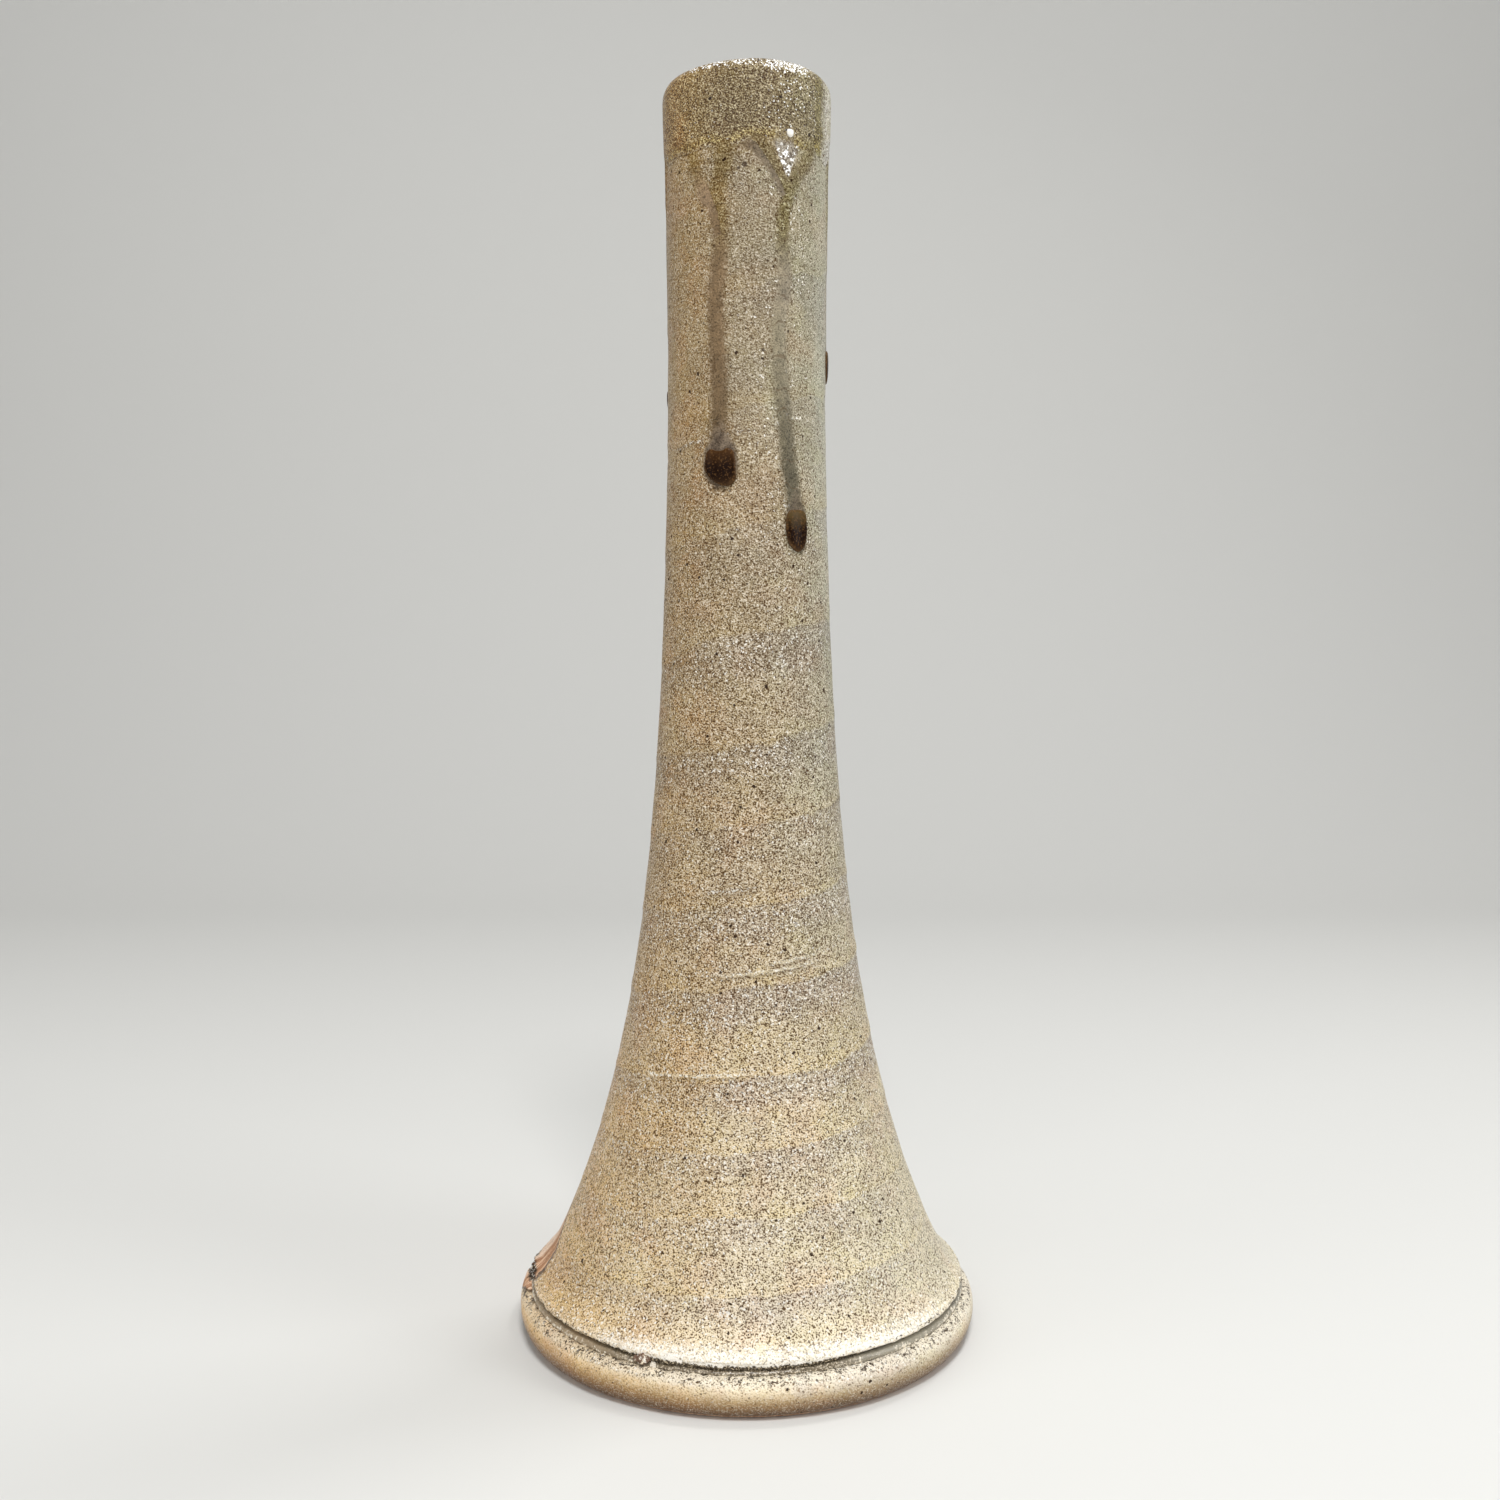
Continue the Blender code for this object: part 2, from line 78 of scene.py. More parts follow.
GROOVE_HEIGHT = 10.6 * MM
GROOVE_WIDTH = 2.4 * MM
GROOVE_DEPTH = 2.2 * MM
LIP_ROUND = 0.7 * MM
LIP_HEIGHT = GROOVE_HEIGHT + GROOVE_WIDTH / 2 + LIP_ROUND
BEAD_HEIGHT = 5.8 * MM
BEAD_SHOULDER = 0.2 * MM
STANDING_RADIUS = BEAD_RADIUS - 4.4 * MM
STANDING_WIDTH = 9.8 * MM
FLOOR_THICKNESS = 8.2 * MM
FLOOR_COVE = 6 * MM
RECESS_DEPTH = 1.3 * MM
RECESS_ROUND = 2 * MM
print("top", round(TOP / MM, 1), "bell", round(BELL_RADIUS / MM, 1), "bead", round(BEAD_RADIUS / MM, 1))

# %% [markdown]
# ## The curve of the wall
# A flare that a thrower pulls up in one movement dies away smoothly, so an exponential fits it with two
# numbers. The mouth opens by a parabola, and the bell's lip kicks out by a short one. Both work on single
# heights and on whole arrays of them, because the relief further down moves thousands of points at once.

# %% Radius of the wall at any height
def flare(height):
    spread = BELL_RADIUS - KICK - NECK_RADIUS
    return spread * np.exp(-(height - LIP_HEIGHT) / FLARE_LENGTH)


def kick(height):
    return KICK * np.clip((LIP_HEIGHT + KICK_LENGTH - height) / KICK_LENGTH, 0, None) ** 2


def wall_radius(height):
    opening = RIM_RADIUS - NECK_RADIUS - flare(TOP)
    up_the_mouth = np.clip((height - TOP + MOUTH_FLARE_LENGTH) / MOUTH_FLARE_LENGTH, 0, None)
    return NECK_RADIUS + flare(height) + opening * up_the_mouth ** 2 + kick(height)


def inner_radius(height):
    extra = (FOOT_WALL - NECK_WALL) * np.exp(-(height - LIP_HEIGHT) / FLARE_LENGTH)
    up_the_mouth = np.clip(1 - (TOP - height) / MOUTH_FLARE_LENGTH, 0, None)
    thickness = NECK_WALL + extra - (NECK_WALL - RIM_WALL) * up_the_mouth
    return wall_radius(height) - kick(height) - thickness


for height in (20, 100, 200, 290):
    print("at", height, "mm the radius is", round(float(wall_radius(height * MM)) / MM, 2), "mm")

# %% [markdown]
# ## Marks of the fingers
# While the wheel turned, the potter's fingers rose in a spiral, and each turn left a shallow band with a
# sharper upper edge. The list gives the height of each upper edge at the front of the vase, and the
# spiral climbs from one to the next in a turn. Angles are in degrees from the front, positive to the
# right. The same spiral shapes the wall here and colours the glaze later on.

# %% Sizes of the marks
BAND_TOPS = [-4, 10, 24, 39, 53, 68, 89, 107.5, 126, 144.2, 169.3, 195, 222, 250, 280, 312]
RIDGES = [(0, 0.0), (50, 0.04), (68, 0.10), (89, 0.20), (108, 0.12), (144, 0.07), (170, 0.05),
          (300, 0.03)]
BAND_HOLLOW = 0.09 * MM
RIDGE_WIDTH = 0.07
TURN_RISE = 18.0
CRISP_RIDGES = [(92.4, 12, 27, 0.42), (94.6, 22, 17, 0.32), (68.4, -24, 24, 0.34), (109.6, -8, 20, 0.20)]
CRISP_WIDTH = 0.48
RING_HEIGHT = 216.2
RING_WIDTH = 0.5
RING_DEPTH = 0.09 * MM
OUT_OF_ROUND = 0.12 * MM
OUT_OF_ROUND_TWIST = 70 * MM
LUMP_HEIGHT = 0.07 * MM
LUMP_SIZE = 7 * MM
MOUTH_TILT = 0.9 * MM
MOUTH_HIGH_ANGLE = 35
MOUTH_TILT_REACH = 30 * MM


# %% The spiral, and the relief that it leaves
def lumps(points, size, shift=0.0):
    """Smooth noise from about -1 to 1 at each point, with features of about this size."""
    return np.array([noise.noise(Vector(point) / size + Vector((shift, 0, 0))) for point in points])


def spiral_phase(angle, height):
    """How far round the spiral a place lies, from 0 just over an upper edge to 1 just under the next."""
    turns = np.interp(height / MM, BAND_TOPS, range(len(BAND_TOPS))) - angle / 360
    return turns - np.floor(turns)


def crisp_ridges(angle, height):
    """Narrow ridges that a fingernail raised: height, angle of the middle, half length, size."""
    raised = 0 * height
    for at, middle, half_length, size in CRISP_RIDGES:
        off = height / MM - at - TURN_RISE * (angle - middle) / 360
        ridge = size * MM * np.exp(-(off / CRISP_WIDTH) ** 2)
        raised = raised + ridge * near_angle(angle, middle, half_length)
    return raised


def relief(angle, height):
    """How far the real wall stands out from the true curve."""
    phase = spiral_phase(angle, height)
    heights, sizes = zip(*RIDGES)
    ridge_size = np.interp(height / MM, heights, sizes) * MM
    off_ridge = np.minimum(phase, 1 - phase) / RIDGE_WIDTH
    ridge = ridge_size * np.exp(-off_ridge ** 2)
    hollow = BAND_HOLLOW * np.clip((phase - 0.5) / 0.4, 0, 1) * np.clip((1 - phase) / 0.04, 0, 1)
    out_of_round = OUT_OF_ROUND * np.sin(2 * np.radians(angle) + height / OUT_OF_ROUND_TWIST)
    off_ring = (height / MM - RING_HEIGHT - TURN_RISE * angle / 360) / RING_WIDTH
    ring = RING_DEPTH * np.exp(-off_ring ** 2)
    return ridge + crisp_ridges(angle, height) - hollow - ring + out_of_round


def near_angle(angle, middle, half_width):
    """A smooth bump round an angle: 1 in the middle, 0 beyond about twice the half width."""
    away = (angle - middle + 180) % 360 - 180
    return np.exp(-(away / half_width) ** 2)


# %% [markdown]
# A place on the wall is an angle and a height. On the finished wall the relief, the soft lumps of the glaze
# and the tilt of the mouth are added to it.

# %% Places on the finished wall
def mouth_rise(angle, height):
    """The mouth stands a little higher at its right front, and this lifts the points near it."""
    up_the_mouth = np.clip((height - TOP + MOUTH_TILT_REACH) / MOUTH_TILT_REACH, 0, 1)
    return up_the_mouth * MOUTH_TILT * (near_angle(angle, MOUTH_HIGH_ANGLE, 60) - 0.2)


def place_at(angle, height, radius):
    """Points as an array of x, y, z."""
    turn = np.radians(angle)
    return np.stack([radius * np.sin(turn), -radius * np.cos(turn), height + 0 * radius], axis=-1)


def soft_lumps(angle, height):
    """The glaze lies a little thicker here and there."""
    return LUMP_HEIGHT * lumps(place_at(angle, height, wall_radius(height)), LUMP_SIZE)


def on_wall(angle, height, proud=0.0):
    """Points on the finished wall."""
    radius = wall_radius(height) + relief(angle, height) + soft_lumps(angle, height) + proud
    return place_at(angle, height + mouth_rise(angle, height), radius)


print("the spiral has", len(BAND_TOPS) - 3, "turns between the foot and the lip")

# %% [markdown]
# ## Working as on the wheel
# A thrown pot is an outline turned round an axis. So the outline is drawn first, by extruding one point
# from place to place, and then spun round Z.

# %% Drawing and turning an outline
AROUND = 300


def arc(middle, radii, start, end, steps):
    """Points (radius, height) on part of an ellipse, from one angle in degrees to another."""
    turns = np.radians(np.linspace(start, end, steps + 1))
    return [(middle[0] + radii[0] * math.cos(t), middle[1] + radii[1] * math.sin(t)) for t in turns]


def start_piece(name, operator, **settings):
    """Adds a primitive with nothing else selected, names it and goes into edit mode."""
    bpy.ops.object.select_all(action="DESELECT")
    operator(**settings)
    piece = bpy.context.object
    piece.name = name
    piece.data.name = name
    bpy.ops.object.mode_set(mode="EDIT")
    bpy.ops.mesh.select_all(action="SELECT")
    return piece


def turn_outline(name, outline, steps=AROUND):
    """Extrudes one point along the outline and spins what it draws."""
    piece = start_piece(name, bpy.ops.mesh.primitive_plane_add, size=MM)
    bpy.ops.mesh.merge(type="CENTER")
    here = Vector((0, 0, 0))
    for step, (radius, height) in enumerate(outline):
        there = Vector((radius, 0, height))
        if step == 0:
            bpy.ops.transform.translate(value=there)
        else:
            bpy.ops.mesh.extrude_region_move(TRANSFORM_OT_translate={"value": there - here})
        here = there
    bpy.ops.mesh.select_all(action="SELECT")
    bpy.ops.mesh.spin(steps=steps, angle=math.tau, center=(0, 0, 0), axis=(0, 0, 1))
    bpy.ops.mesh.select_all(action="SELECT")
    bpy.ops.mesh.remove_doubles(threshold=0.02 * MM)
    bpy.ops.mesh.normals_make_consistent(inside=False)
    bpy.ops.object.mode_set(mode="OBJECT")
    return piece


# %% [markdown]
# The points of a mesh are given to the relief as one array, and are put back when they have been moved.
# Every piece is finished the same way: it is smoothed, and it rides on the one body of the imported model.

# %% Moving the points and finishing a piece
def points_of(piece):
    points = np.empty(len(piece.data.vertices) * 3)
    piece.data.vertices.foreach_get("co", points)
    return points.reshape(-1, 3)


def move_points(piece, points):
    piece.data.vertices.foreach_set("co", points.ravel())
    piece.data.update()


def round_place(points):
    """Angle, height and radius of each point."""
    angle = np.degrees(np.arctan2(points[:, 0], -points[:, 1]))
    return angle, points[:, 2].copy(), np.hypot(points[:, 0], points[:, 1])


def set_radius(points, angle, radius):
    points[:, 0] = radius * np.sin(np.radians(angle))
    points[:, 1] = -radius * np.cos(np.radians(angle))


def keep_values(piece, **values):
    """Keeps values for each point, which a material can read by their names."""
    for name, numbers in values.items():
        attribute = piece.data.attributes.new(name, "FLOAT", "POINT")
        attribute.data.foreach_set("value", np.asarray(numbers, dtype=np.float32))


def finish_piece(piece, *nodes, slot, sharp=180):
    """Smooths its shading, except at edges sharper than this, puts it on the root body, and hides the
    imported nodes that it stands for.
    """
    bpy.ops.object.select_all(action="DESELECT")
    bpy.context.view_layer.objects.active = piece
    piece.select_set(True)
    bpy.ops.object.shade_smooth_by_angle(angle=math.radians(sharp))
    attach(piece, "root")
    if nodes:
        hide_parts(*nodes)
    print(piece.name, "has", len(piece.data.polygons), "faces")


# %% [markdown]
# ## The wall
# The neck and the bell were thrown as one piece. Its outline goes down the outside, rounds the bell's
# lower lip, turns in to the middle of the groove, and comes back up the inside and over the mouth. The
# outside gets a row of points every millimetre or so, because the finger marks are pressed into it.

# %% Outline of the wall
OUTSIDE_ROW = 1.35 * MM
FINE_ROW = 0.5 * MM
FINE_PLACES = [LIP_HEIGHT / MM, 68.5, 91, 109, RING_HEIGHT]
FINE_REACH = 4.5
RIM_ROUND = RIM_WALL / 2
RIM_START = TOP - RIM_ROUND
GROOVE_FLOOR = BELL_RADIUS - GROOVE_DEPTH
LIP_EDGE = 0.4 * MM


def row_heights():
    """Heights of the rows outside, closer together where something narrow is pressed into the wall."""
    heights = [RIM_START]
    while heights[-1] > LIP_HEIGHT + FINE_ROW:
        near = min(abs(heights[-1] / MM - place) for place in FINE_PLACES)
        heights.append(heights[-1] - (FINE_ROW if near < FINE_REACH else OUTSIDE_ROW))
    return heights[:-1] + [LIP_HEIGHT]


def rim_middle():
    """The point that the rim is rounded about, and half the thickness of the wall there."""
    half_wall = (wall_radius(RIM_START) - inner_radius(RIM_START)) / 2
    return (inner_radius(RIM_START) + half_wall, RIM_START), half_wall


def wall_outline():
    outline = [(float(wall_radius(h)), h) for h in row_heights()]
    lip_middle = (BELL_RADIUS - LIP_EDGE, LIP_HEIGHT - LIP_ROUND + LIP_EDGE)
    outline += arc(lip_middle, (LIP_EDGE, LIP_EDGE), 0, -90, 5)
    half = GROOVE_WIDTH / 2
    outline += arc((GROOVE_FLOOR + half, GROOVE_HEIGHT), (half, half), 90, 180, 7)
    inside = GROOVE_HEIGHT + (RIM_START - GROOVE_HEIGHT) * np.linspace(0, 1, 37) ** 0.8
    outline += [(float(inner_radius(h)), h) for h in inside]
    middle, half_wall = rim_middle()
    outline += arc(middle, (half_wall, RIM_ROUND), 180, 0, 10)[1:]
    return outline


wall = turn_outline("thrown_wall", wall_outline())
print("the wall's outline has", len(wall_outline()), "points")

# %% [markdown]
# The turned wall is too true. Its outside is moved by the relief, its inside by the opposite of the
# throwing marks, the mouth is tilted a little, and the bell's lip gets the ragged edge that the groove tool
# left in gritty clay. At the left the lip is torn, where the pot was lifted while it was soft: the clay
# bulges over the tear, the groove is dragged up there, and the lip itself is broken away.

# %% Pressing the relief into the wall
LIP_RAG = 0.26 * MM
LIP_RAG_SIZE = 1.7 * MM
TEAR_ANGLE = -90
TEAR_HALF_WIDTH = 14
TEAR_BULGE = 0.55 * MM
TEAR_HEIGHT = 15.5 * MM
TEAR_REACH = 4.5 * MM
TEAR_DEPTH = 0.6 * MM
TEAR_LIFT = 3.0 * MM
LIFT_REACH = 5 * MM
LIP_REACH = 2 * MM
BREAK_REACH = 2.4 * MM


def near_height(height, middle, reach):
    return np.clip(1 - np.abs(height - middle) / reach, 0, 1)


def torn_lift(angle, height):
    """How far the groove and both of its edges are dragged up where the lip is torn."""
    return TEAR_LIFT * near_angle(angle, TEAR_ANGLE + 3, 8) * near_height(height, GROOVE_HEIGHT, LIFT_REACH)


def rag(points, shift):
    """Rough noise for edges that the tool left in gritty clay."""
    return lumps(points, LIP_RAG_SIZE, shift) + 0.7 * lumps(points, LIP_RAG_SIZE / 2.5, shift + 4)


def roughen_wall(points):
    angle, height, radius = round_place(points)
    outside = radius > (wall_radius(height) + inner_radius(height)) / 2
    pressed = relief(angle, height)
    radius = np.where(outside, radius + pressed + soft_lumps(angle, height), radius - 2 * pressed)
    lip = near_height(height, LIP_HEIGHT - 0.3 * MM, LIP_REACH) * outside
    tear = near_angle(angle, TEAR_ANGLE, TEAR_HALF_WIDTH) * outside
    rough = rag(points, 7)
    radius = radius + LIP_RAG * rough * lip * (1 + 1.6 * tear)
    bulge = TEAR_BULGE * near_height(height, TEAR_HEIGHT, TEAR_REACH) * (0.8 + 0.6 * rough)
    broken = TEAR_DEPTH * near_height(height, LIP_HEIGHT - 0.5 * MM, BREAK_REACH)
    radius = radius + tear * (bulge - broken)
    set_radius(points, angle, radius)
    points[:, 2] += LIP_RAG * lip * rag(points, 21) * (1 + 1.5 * tear) + mouth_rise(angle, height)
    points[:, 2] += torn_lift(angle, height) * outside
    return points


move_points(wall, roughen_wall(points_of(wall)))
finish_piece(wall, "neck_and_bell", slot="glazed_stoneware", sharp=50)

# %% [markdown]
# ## The foot
# The base was thrown as a disc, and its edge was rolled into the bead. The outline starts in the middle of
# the floor inside, rises in a small cove to the seat of the wall, and comes out through the groove and
# round the bead to the ring that the vase stands on. A shallow hollow was trimmed underneath.

# %% Outline of the foot
def foot_outline():
    seat = inner_radius(GROOVE_HEIGHT)
    outline = [(0.0, FLOOR_THICKNESS)]
    cove = seat - FLOOR_COVE
    outline += [(radius, FLOOR_THICKNESS) for radius in np.linspace(6 * MM, cove, 8)][:-1]
    outline += arc((cove, GROOVE_HEIGHT), (FLOOR_COVE, GROOVE_HEIGHT - FLOOR_THICKNESS), -90, 0, 6)
    half = GROOVE_WIDTH / 2
    outline += arc((GROOVE_FLOOR + half, GROOVE_HEIGHT), (half, half), 180, 270, 8)
    shoulder = BELL_RADIUS + BEAD_SHOULDER
    top = GROOVE_HEIGHT - half
    outline += [((GROOVE_FLOOR + half + shoulder) / 2, top)]
    outline += arc((shoulder, BEAD_HEIGHT), (BEAD_RADIUS - shoulder, top - BEAD_HEIGHT), 90, 0, 9)
    below = (BEAD_RADIUS - STANDING_RADIUS, BEAD_HEIGHT)
    outline += arc((STANDING_RADIUS, BEAD_HEIGHT), below, 0, -90, 11)[1:]
    inner = STANDING_RADIUS - STANDING_WIDTH
    outline += [(radius, 0.0) for radius in np.linspace(STANDING_RADIUS, inner, 6)][1:]
    recess = inner - RECESS_ROUND
    outline += arc((recess, 0.0), (RECESS_ROUND, RECESS_DEPTH), 0, 90, 4)[1:]
    outline += [(radius, RECESS_DEPTH) for radius in np.linspace(recess, 5 * MM, 9)][1:]
    return outline + [(0.0, RECESS_DEPTH)]


FOOT_AROUND = 960
foot = turn_outline("thrown_foot", foot_outline(), steps=FOOT_AROUND)

# %% [markdown]
# The bead was rolled under a finger, so it swells and sinks a little as it goes round. Its shoulder in the
# groove is ragged like the bell's lip above it. The ring underneath stays flat, because the vase was set
# down on it while it was soft.

# %% Roughening the foot
BEAD_SWELL = 0.16 * MM
SWELL_SIZE = 16 * MM
SMALL_SWELL_SIZE = 5 * MM
SHOULDER_RAG = 0.36 * MM
SHOULDER_REACH = 1.6 * MM


def roughen_foot(points):
    angle, height, radius = round_place(points)
    seen = (radius > GROOVE_FLOOR - 1 * MM) & (height > 0.3 * MM)
    swell = BEAD_SWELL * (lumps(points, SWELL_SIZE) + 0.5 * lumps(points, SMALL_SWELL_SIZE, 4))
    shoulder = near_height(height, GROOVE_HEIGHT - GROOVE_WIDTH / 2, SHOULDER_REACH)
    shoulder = shoulder * (radius > GROOVE_FLOOR + 0.2 * MM) * (radius < BEAD_RADIUS - 0.3 * MM)
    bead = seen * np.clip(height / (3 * MM), 0, 1) * (radius > BELL_RADIUS - 1 * MM)
    set_radius(points, angle, radius + swell * bead)
    torn = near_angle(angle, TEAR_ANGLE, TEAR_HALF_WIDTH)
    ragged = SHOULDER_RAG * rag(points, 11) * shoulder * (1 + torn)
    points[:, 2] += ragged + torn_lift(angle, height) * seen
    return points


move_points(foot, roughen_foot(points_of(foot)))
finish_piece(foot, "base_disc", slot="glazed_foot", sharp=50)

# %% [markdown]
# ## The crumb in the groove
# A crumb of clay was pushed up by the groove tool and stayed at the front left. It could be sculpted, but
# an icosphere that is drawn out along the groove and then roughened by noise reads the same at this size.

# %% Clay crumb and a flake of glaze beside it
CRUMB_ANGLE = -25.6
CRUMB_HEIGHT = 11.0 * MM
CRUMB_SIZE = Vector((3.7, 2.9, 2.5)) * MM
FLAKE_ANGLE = -22.8
FLAKE_HEIGHT = 9.8 * MM
FLAKE_SIZE = Vector((2.0, 1.6, 1.3)) * MM
CAUGHT_RADIUS = 52.9 * MM


def make_crumb(name, size, angle, height):
    """A rough lump, drawn out along the groove."""
    piece = start_piece(name, bpy.ops.mesh.primitive_ico_sphere_add, subdivisions=6, radius=0.5)
    bpy.ops.transform.resize(value=size)
    bpy.ops.object.mode_set(mode="OBJECT")
    points = points_of(piece)
    rough = 0.45 * lumps(points, 1.5 * MM, 2) + 0.35 * lumps(points, 0.7 * MM, 9)
    rough = rough + 0.2 * lumps(points, 0.3 * MM)
    points *= 1 + rough[:, None]
    turn = math.radians(angle)
    along, out = points[:, 0].copy(), -points[:, 1]
    points[:, 0] = along * math.cos(turn) + (CAUGHT_RADIUS + out) * math.sin(turn)
    points[:, 1] = along * math.sin(turn) - (CAUGHT_RADIUS + out) * math.cos(turn)
    points[:, 2] += height
    move_points(piece, points)
    return piece


crumb = make_crumb("clay_crumb_caught", CRUMB_SIZE, CRUMB_ANGLE, CRUMB_HEIGHT)
flake = make_crumb("glaze_flake", FLAKE_SIZE, FLAKE_ANGLE, FLAKE_HEIGHT)
finish_piece(crumb, "clay_crumb", slot="bare_clay")
finish_piece(flake, slot="glazed_stoneware")

# %% [markdown]
# ## Glaze on the lip
# Glaze drew together along the sharp lip of the bell and froze there as a thin knobbly roll. It hides the
# clay's edge, so it is a piece of its own: a ring round the lip, fine enough all the way round for lumps
# half a millimetre across. It sags into the groove at the front, and it is in disorder where the lip is
# torn.

# %% Roll of glaze round the lip
ROLL_RADIUS = BELL_RADIUS - 0.72 * MM
ROLL_HEIGHT = LIP_HEIGHT + 0.06 * MM
ROLL_THICK = 0.68 * MM
ROLL_LUMP = 1.0 * MM
ROLL_ROUGH = 0.30 * MM
ROLL_SAG = 1.45 * MM
SAG_ANGLE = -4
SAG_HALF_WIDTH = 30


def roughen_roll(points):
    """Swells and pinches the ring about its own middle, most along its underside."""
    angle, height, radius = round_place(points)
    out = radius - ROLL_RADIUS
    up = height - ROLL_HEIGHT
    size = np.hypot(out, up)
    under = np.clip(0.5 - up / size, 0.3, 1)
    rough = lumps(points, ROLL_LUMP, 31) + 0.7 * lumps(points, ROLL_LUMP / 2.2, 12)
    torn = near_angle(angle, TEAR_ANGLE, TEAR_HALF_WIDTH)
    sideways = np.clip(abs(angle) / 25 - 1, 0, 1)
    swell = 1 + ROLL_ROUGH * rough * under * (1 + 0.5 * sideways + 2 * torn) / size - 0.35 * torn
    sag = ROLL_SAG * np.exp(-((angle - SAG_ANGLE) / SAG_HALF_WIDTH) ** 4)
    set_radius(points, angle, ROLL_RADIUS + out * swell)
    points[:, 2] = ROLL_HEIGHT + up * swell + torn_lift(angle, height) - sag * (0.55 - 0.45 * up / size)
    return points, -up / size


roll_outline = arc((ROLL_RADIUS, ROLL_HEIGHT), (ROLL_THICK, ROLL_THICK), 0, 360, 16)
roll = turn_outline("lip_glaze", roll_outline, steps=FOOT_AROUND)
roll_points, roll_under = roughen_roll(points_of(roll))
move_points(roll, roll_points)
keep_values(roll, under=roll_under)
finish_piece(roll, slot="glazed_stoneware")

# %% [markdown]
# ## Glaze in the groove
# Glaze that ran down the bell gathered at the bottom of the groove and set as a smooth grey-green line. It
# is a narrow ring, so its outline is a small closed loop, spun like the rest. Its top rises and falls with
# the amount of glaze that gathered, which is least at the front, under the sagging roll.

# %% Ring of pooled glaze
POOL_RADIUS = GROOVE_FLOOR + 0.9 * MM
POOL_HEIGHT = GROOVE_HEIGHT - 0.85 * MM
POOL_HALF_WIDTH = 1.4 * MM
POOL_HALF_HEIGHT = 0.7 * MM
POOL_RISE = 0.62 * MM
pool_outline = arc((POOL_RADIUS, POOL_HEIGHT), (POOL_HALF_WIDTH, POOL_HALF_HEIGHT), 0, 360, 16)
pool = turn_outline("groove_glaze", pool_outline, steps=FOOT_AROUND)
pool_points = points_of(pool)
pool_angle, pool_height, pool_radius = round_place(pool_points)
pool_fill = 0.20 * lumps(pool_points, 9 * MM, 3) + 0.12 * lumps(pool_points, 1.6 * MM, 8)
away_from_front = 1 - np.exp(-((pool_angle - SAG_ANGLE) / (SAG_HALF_WIDTH - 3)) ** 4)
pool_top = np.clip((pool_height - POOL_HEIGHT) / POOL_HALF_HEIGHT, 0, 1)
pool_rise = pool_fill * MM + POOL_RISE * away_from_front * pool_top
pool_points[:, 2] += pool_rise + torn_lift(pool_angle, pool_height)
set_radius(pool_points, pool_angle, pool_radius + 0.6 * pool_fill * MM)
move_points(pool, pool_points)
finish_piece(pool, slot="grey_glaze")

# %% [markdown]
# ## The glaze collar
# The vase was dipped mouth down a second time, so the glaze lies double over the lip. It starts inside the
# mouth, goes over the rim and ends outside in a scalloped edge, where it thins out to nothing. The
# outline is a thin closed loop: its inner face is sunk in the clay, its outer face stands proud.

# %% Collar
COLLAR_INSIDE = 12 * MM
COLLAR_EDGE = 280.3 * MM
COLLAR_THICK = 0.33 * MM
COLLAR_TOP_THICK = 1.0 * MM
COLLAR_SINK = 0.25 * MM
SCALLOPS = 13
SCALLOP_ANGLE = -41
SCALLOP_DROP = 0.9 * MM
FADE = 4 * MM
UNEVEN = 0.10 * MM
UNEVEN_SIZE = 6 * MM


def collar_edge(angle):
    """Height of the collar's lower edge."""
    wave = np.cos(np.radians(SCALLOPS * (angle - SCALLOP_ANGLE)))
    slow = np.sin(np.radians(3 * angle + 40)) + 0.6 * np.sin(np.radians(7 * angle))
    return COLLAR_EDGE + SCALLOP_DROP * (0.5 - 0.5 * wave) + 0.7 * MM * slow


def collar_outline():
    middle, half_wall = rim_middle()
    thick = COLLAR_THICK
    outline = [(float(wall_radius(h)) + thick, h) for h in np.linspace(COLLAR_EDGE, RIM_START, 26)]
    outline += arc(middle, (half_wall + thick, RIM_ROUND + COLLAR_TOP_THICK), 0, 180, 18)[1:]
    inside = np.linspace(RIM_START, TOP - COLLAR_INSIDE, 12)[1:]
    outline += [(float(inner_radius(h)) - thick, h) for h in inside]
    outline += [(float(inner_radius(h)) + COLLAR_SINK, h) for h in inside[::-3]]
    outline += arc(middle, (half_wall - COLLAR_SINK, RIM_ROUND - COLLAR_SINK), 180, 0, 6)
    down = np.linspace(RIM_START, COLLAR_EDGE, 8)[1:]
    outline += [(float(wall_radius(h)) - COLLAR_SINK, h) for h in down]
    return outline + outline[:1]


def shape_collar(points):
    """Slides the outside down to the scalloped edge, thins it there and lays it on the wall's relief."""
    angle, height, radius = round_place(points)
    proud = radius - wall_radius(height)
    outside = (radius > (wall_radius(height) + inner_radius(height)) / 2) & (height < RIM_START)
    share = (RIM_START - height) / (RIM_START - COLLAR_EDGE)
    slid = RIM_START - share * (RIM_START - collar_edge(angle))
    height = np.where(outside, slid, height)
    up = (height - collar_edge(angle)) / FADE
    fullness = np.where(outside, np.clip(up, 0, 1) ** 0.5, 1)
    outer_face = proud > 0
    uneven = UNEVEN * lumps(points, UNEVEN_SIZE, 5)
    thin = np.where(outer_face, proud * (1.25 * fullness - 0.25) + uneven * fullness, proud)
    moved = wall_radius(height) + relief(angle, height) + soft_lumps(angle, height) + thin
    inside_thin = radius + uneven * (height > TOP - COLLAR_INSIDE + 3 * MM)
    set_radius(points, angle, np.where(outside, moved, inside_thin))
    points[:, 2] = height + mouth_rise(angle, height)
    return points, np.clip(np.where(outside, up, 1), 0, 1)


collar = turn_outline("glaze_collar", collar_outline())
collar_points, collar_up = shape_collar(points_of(collar))
move_points(collar, collar_points)
keep_values(collar, up_from_edge=collar_up)
finish_piece(collar, "rim_glaze_collar", slot="olive_glaze")

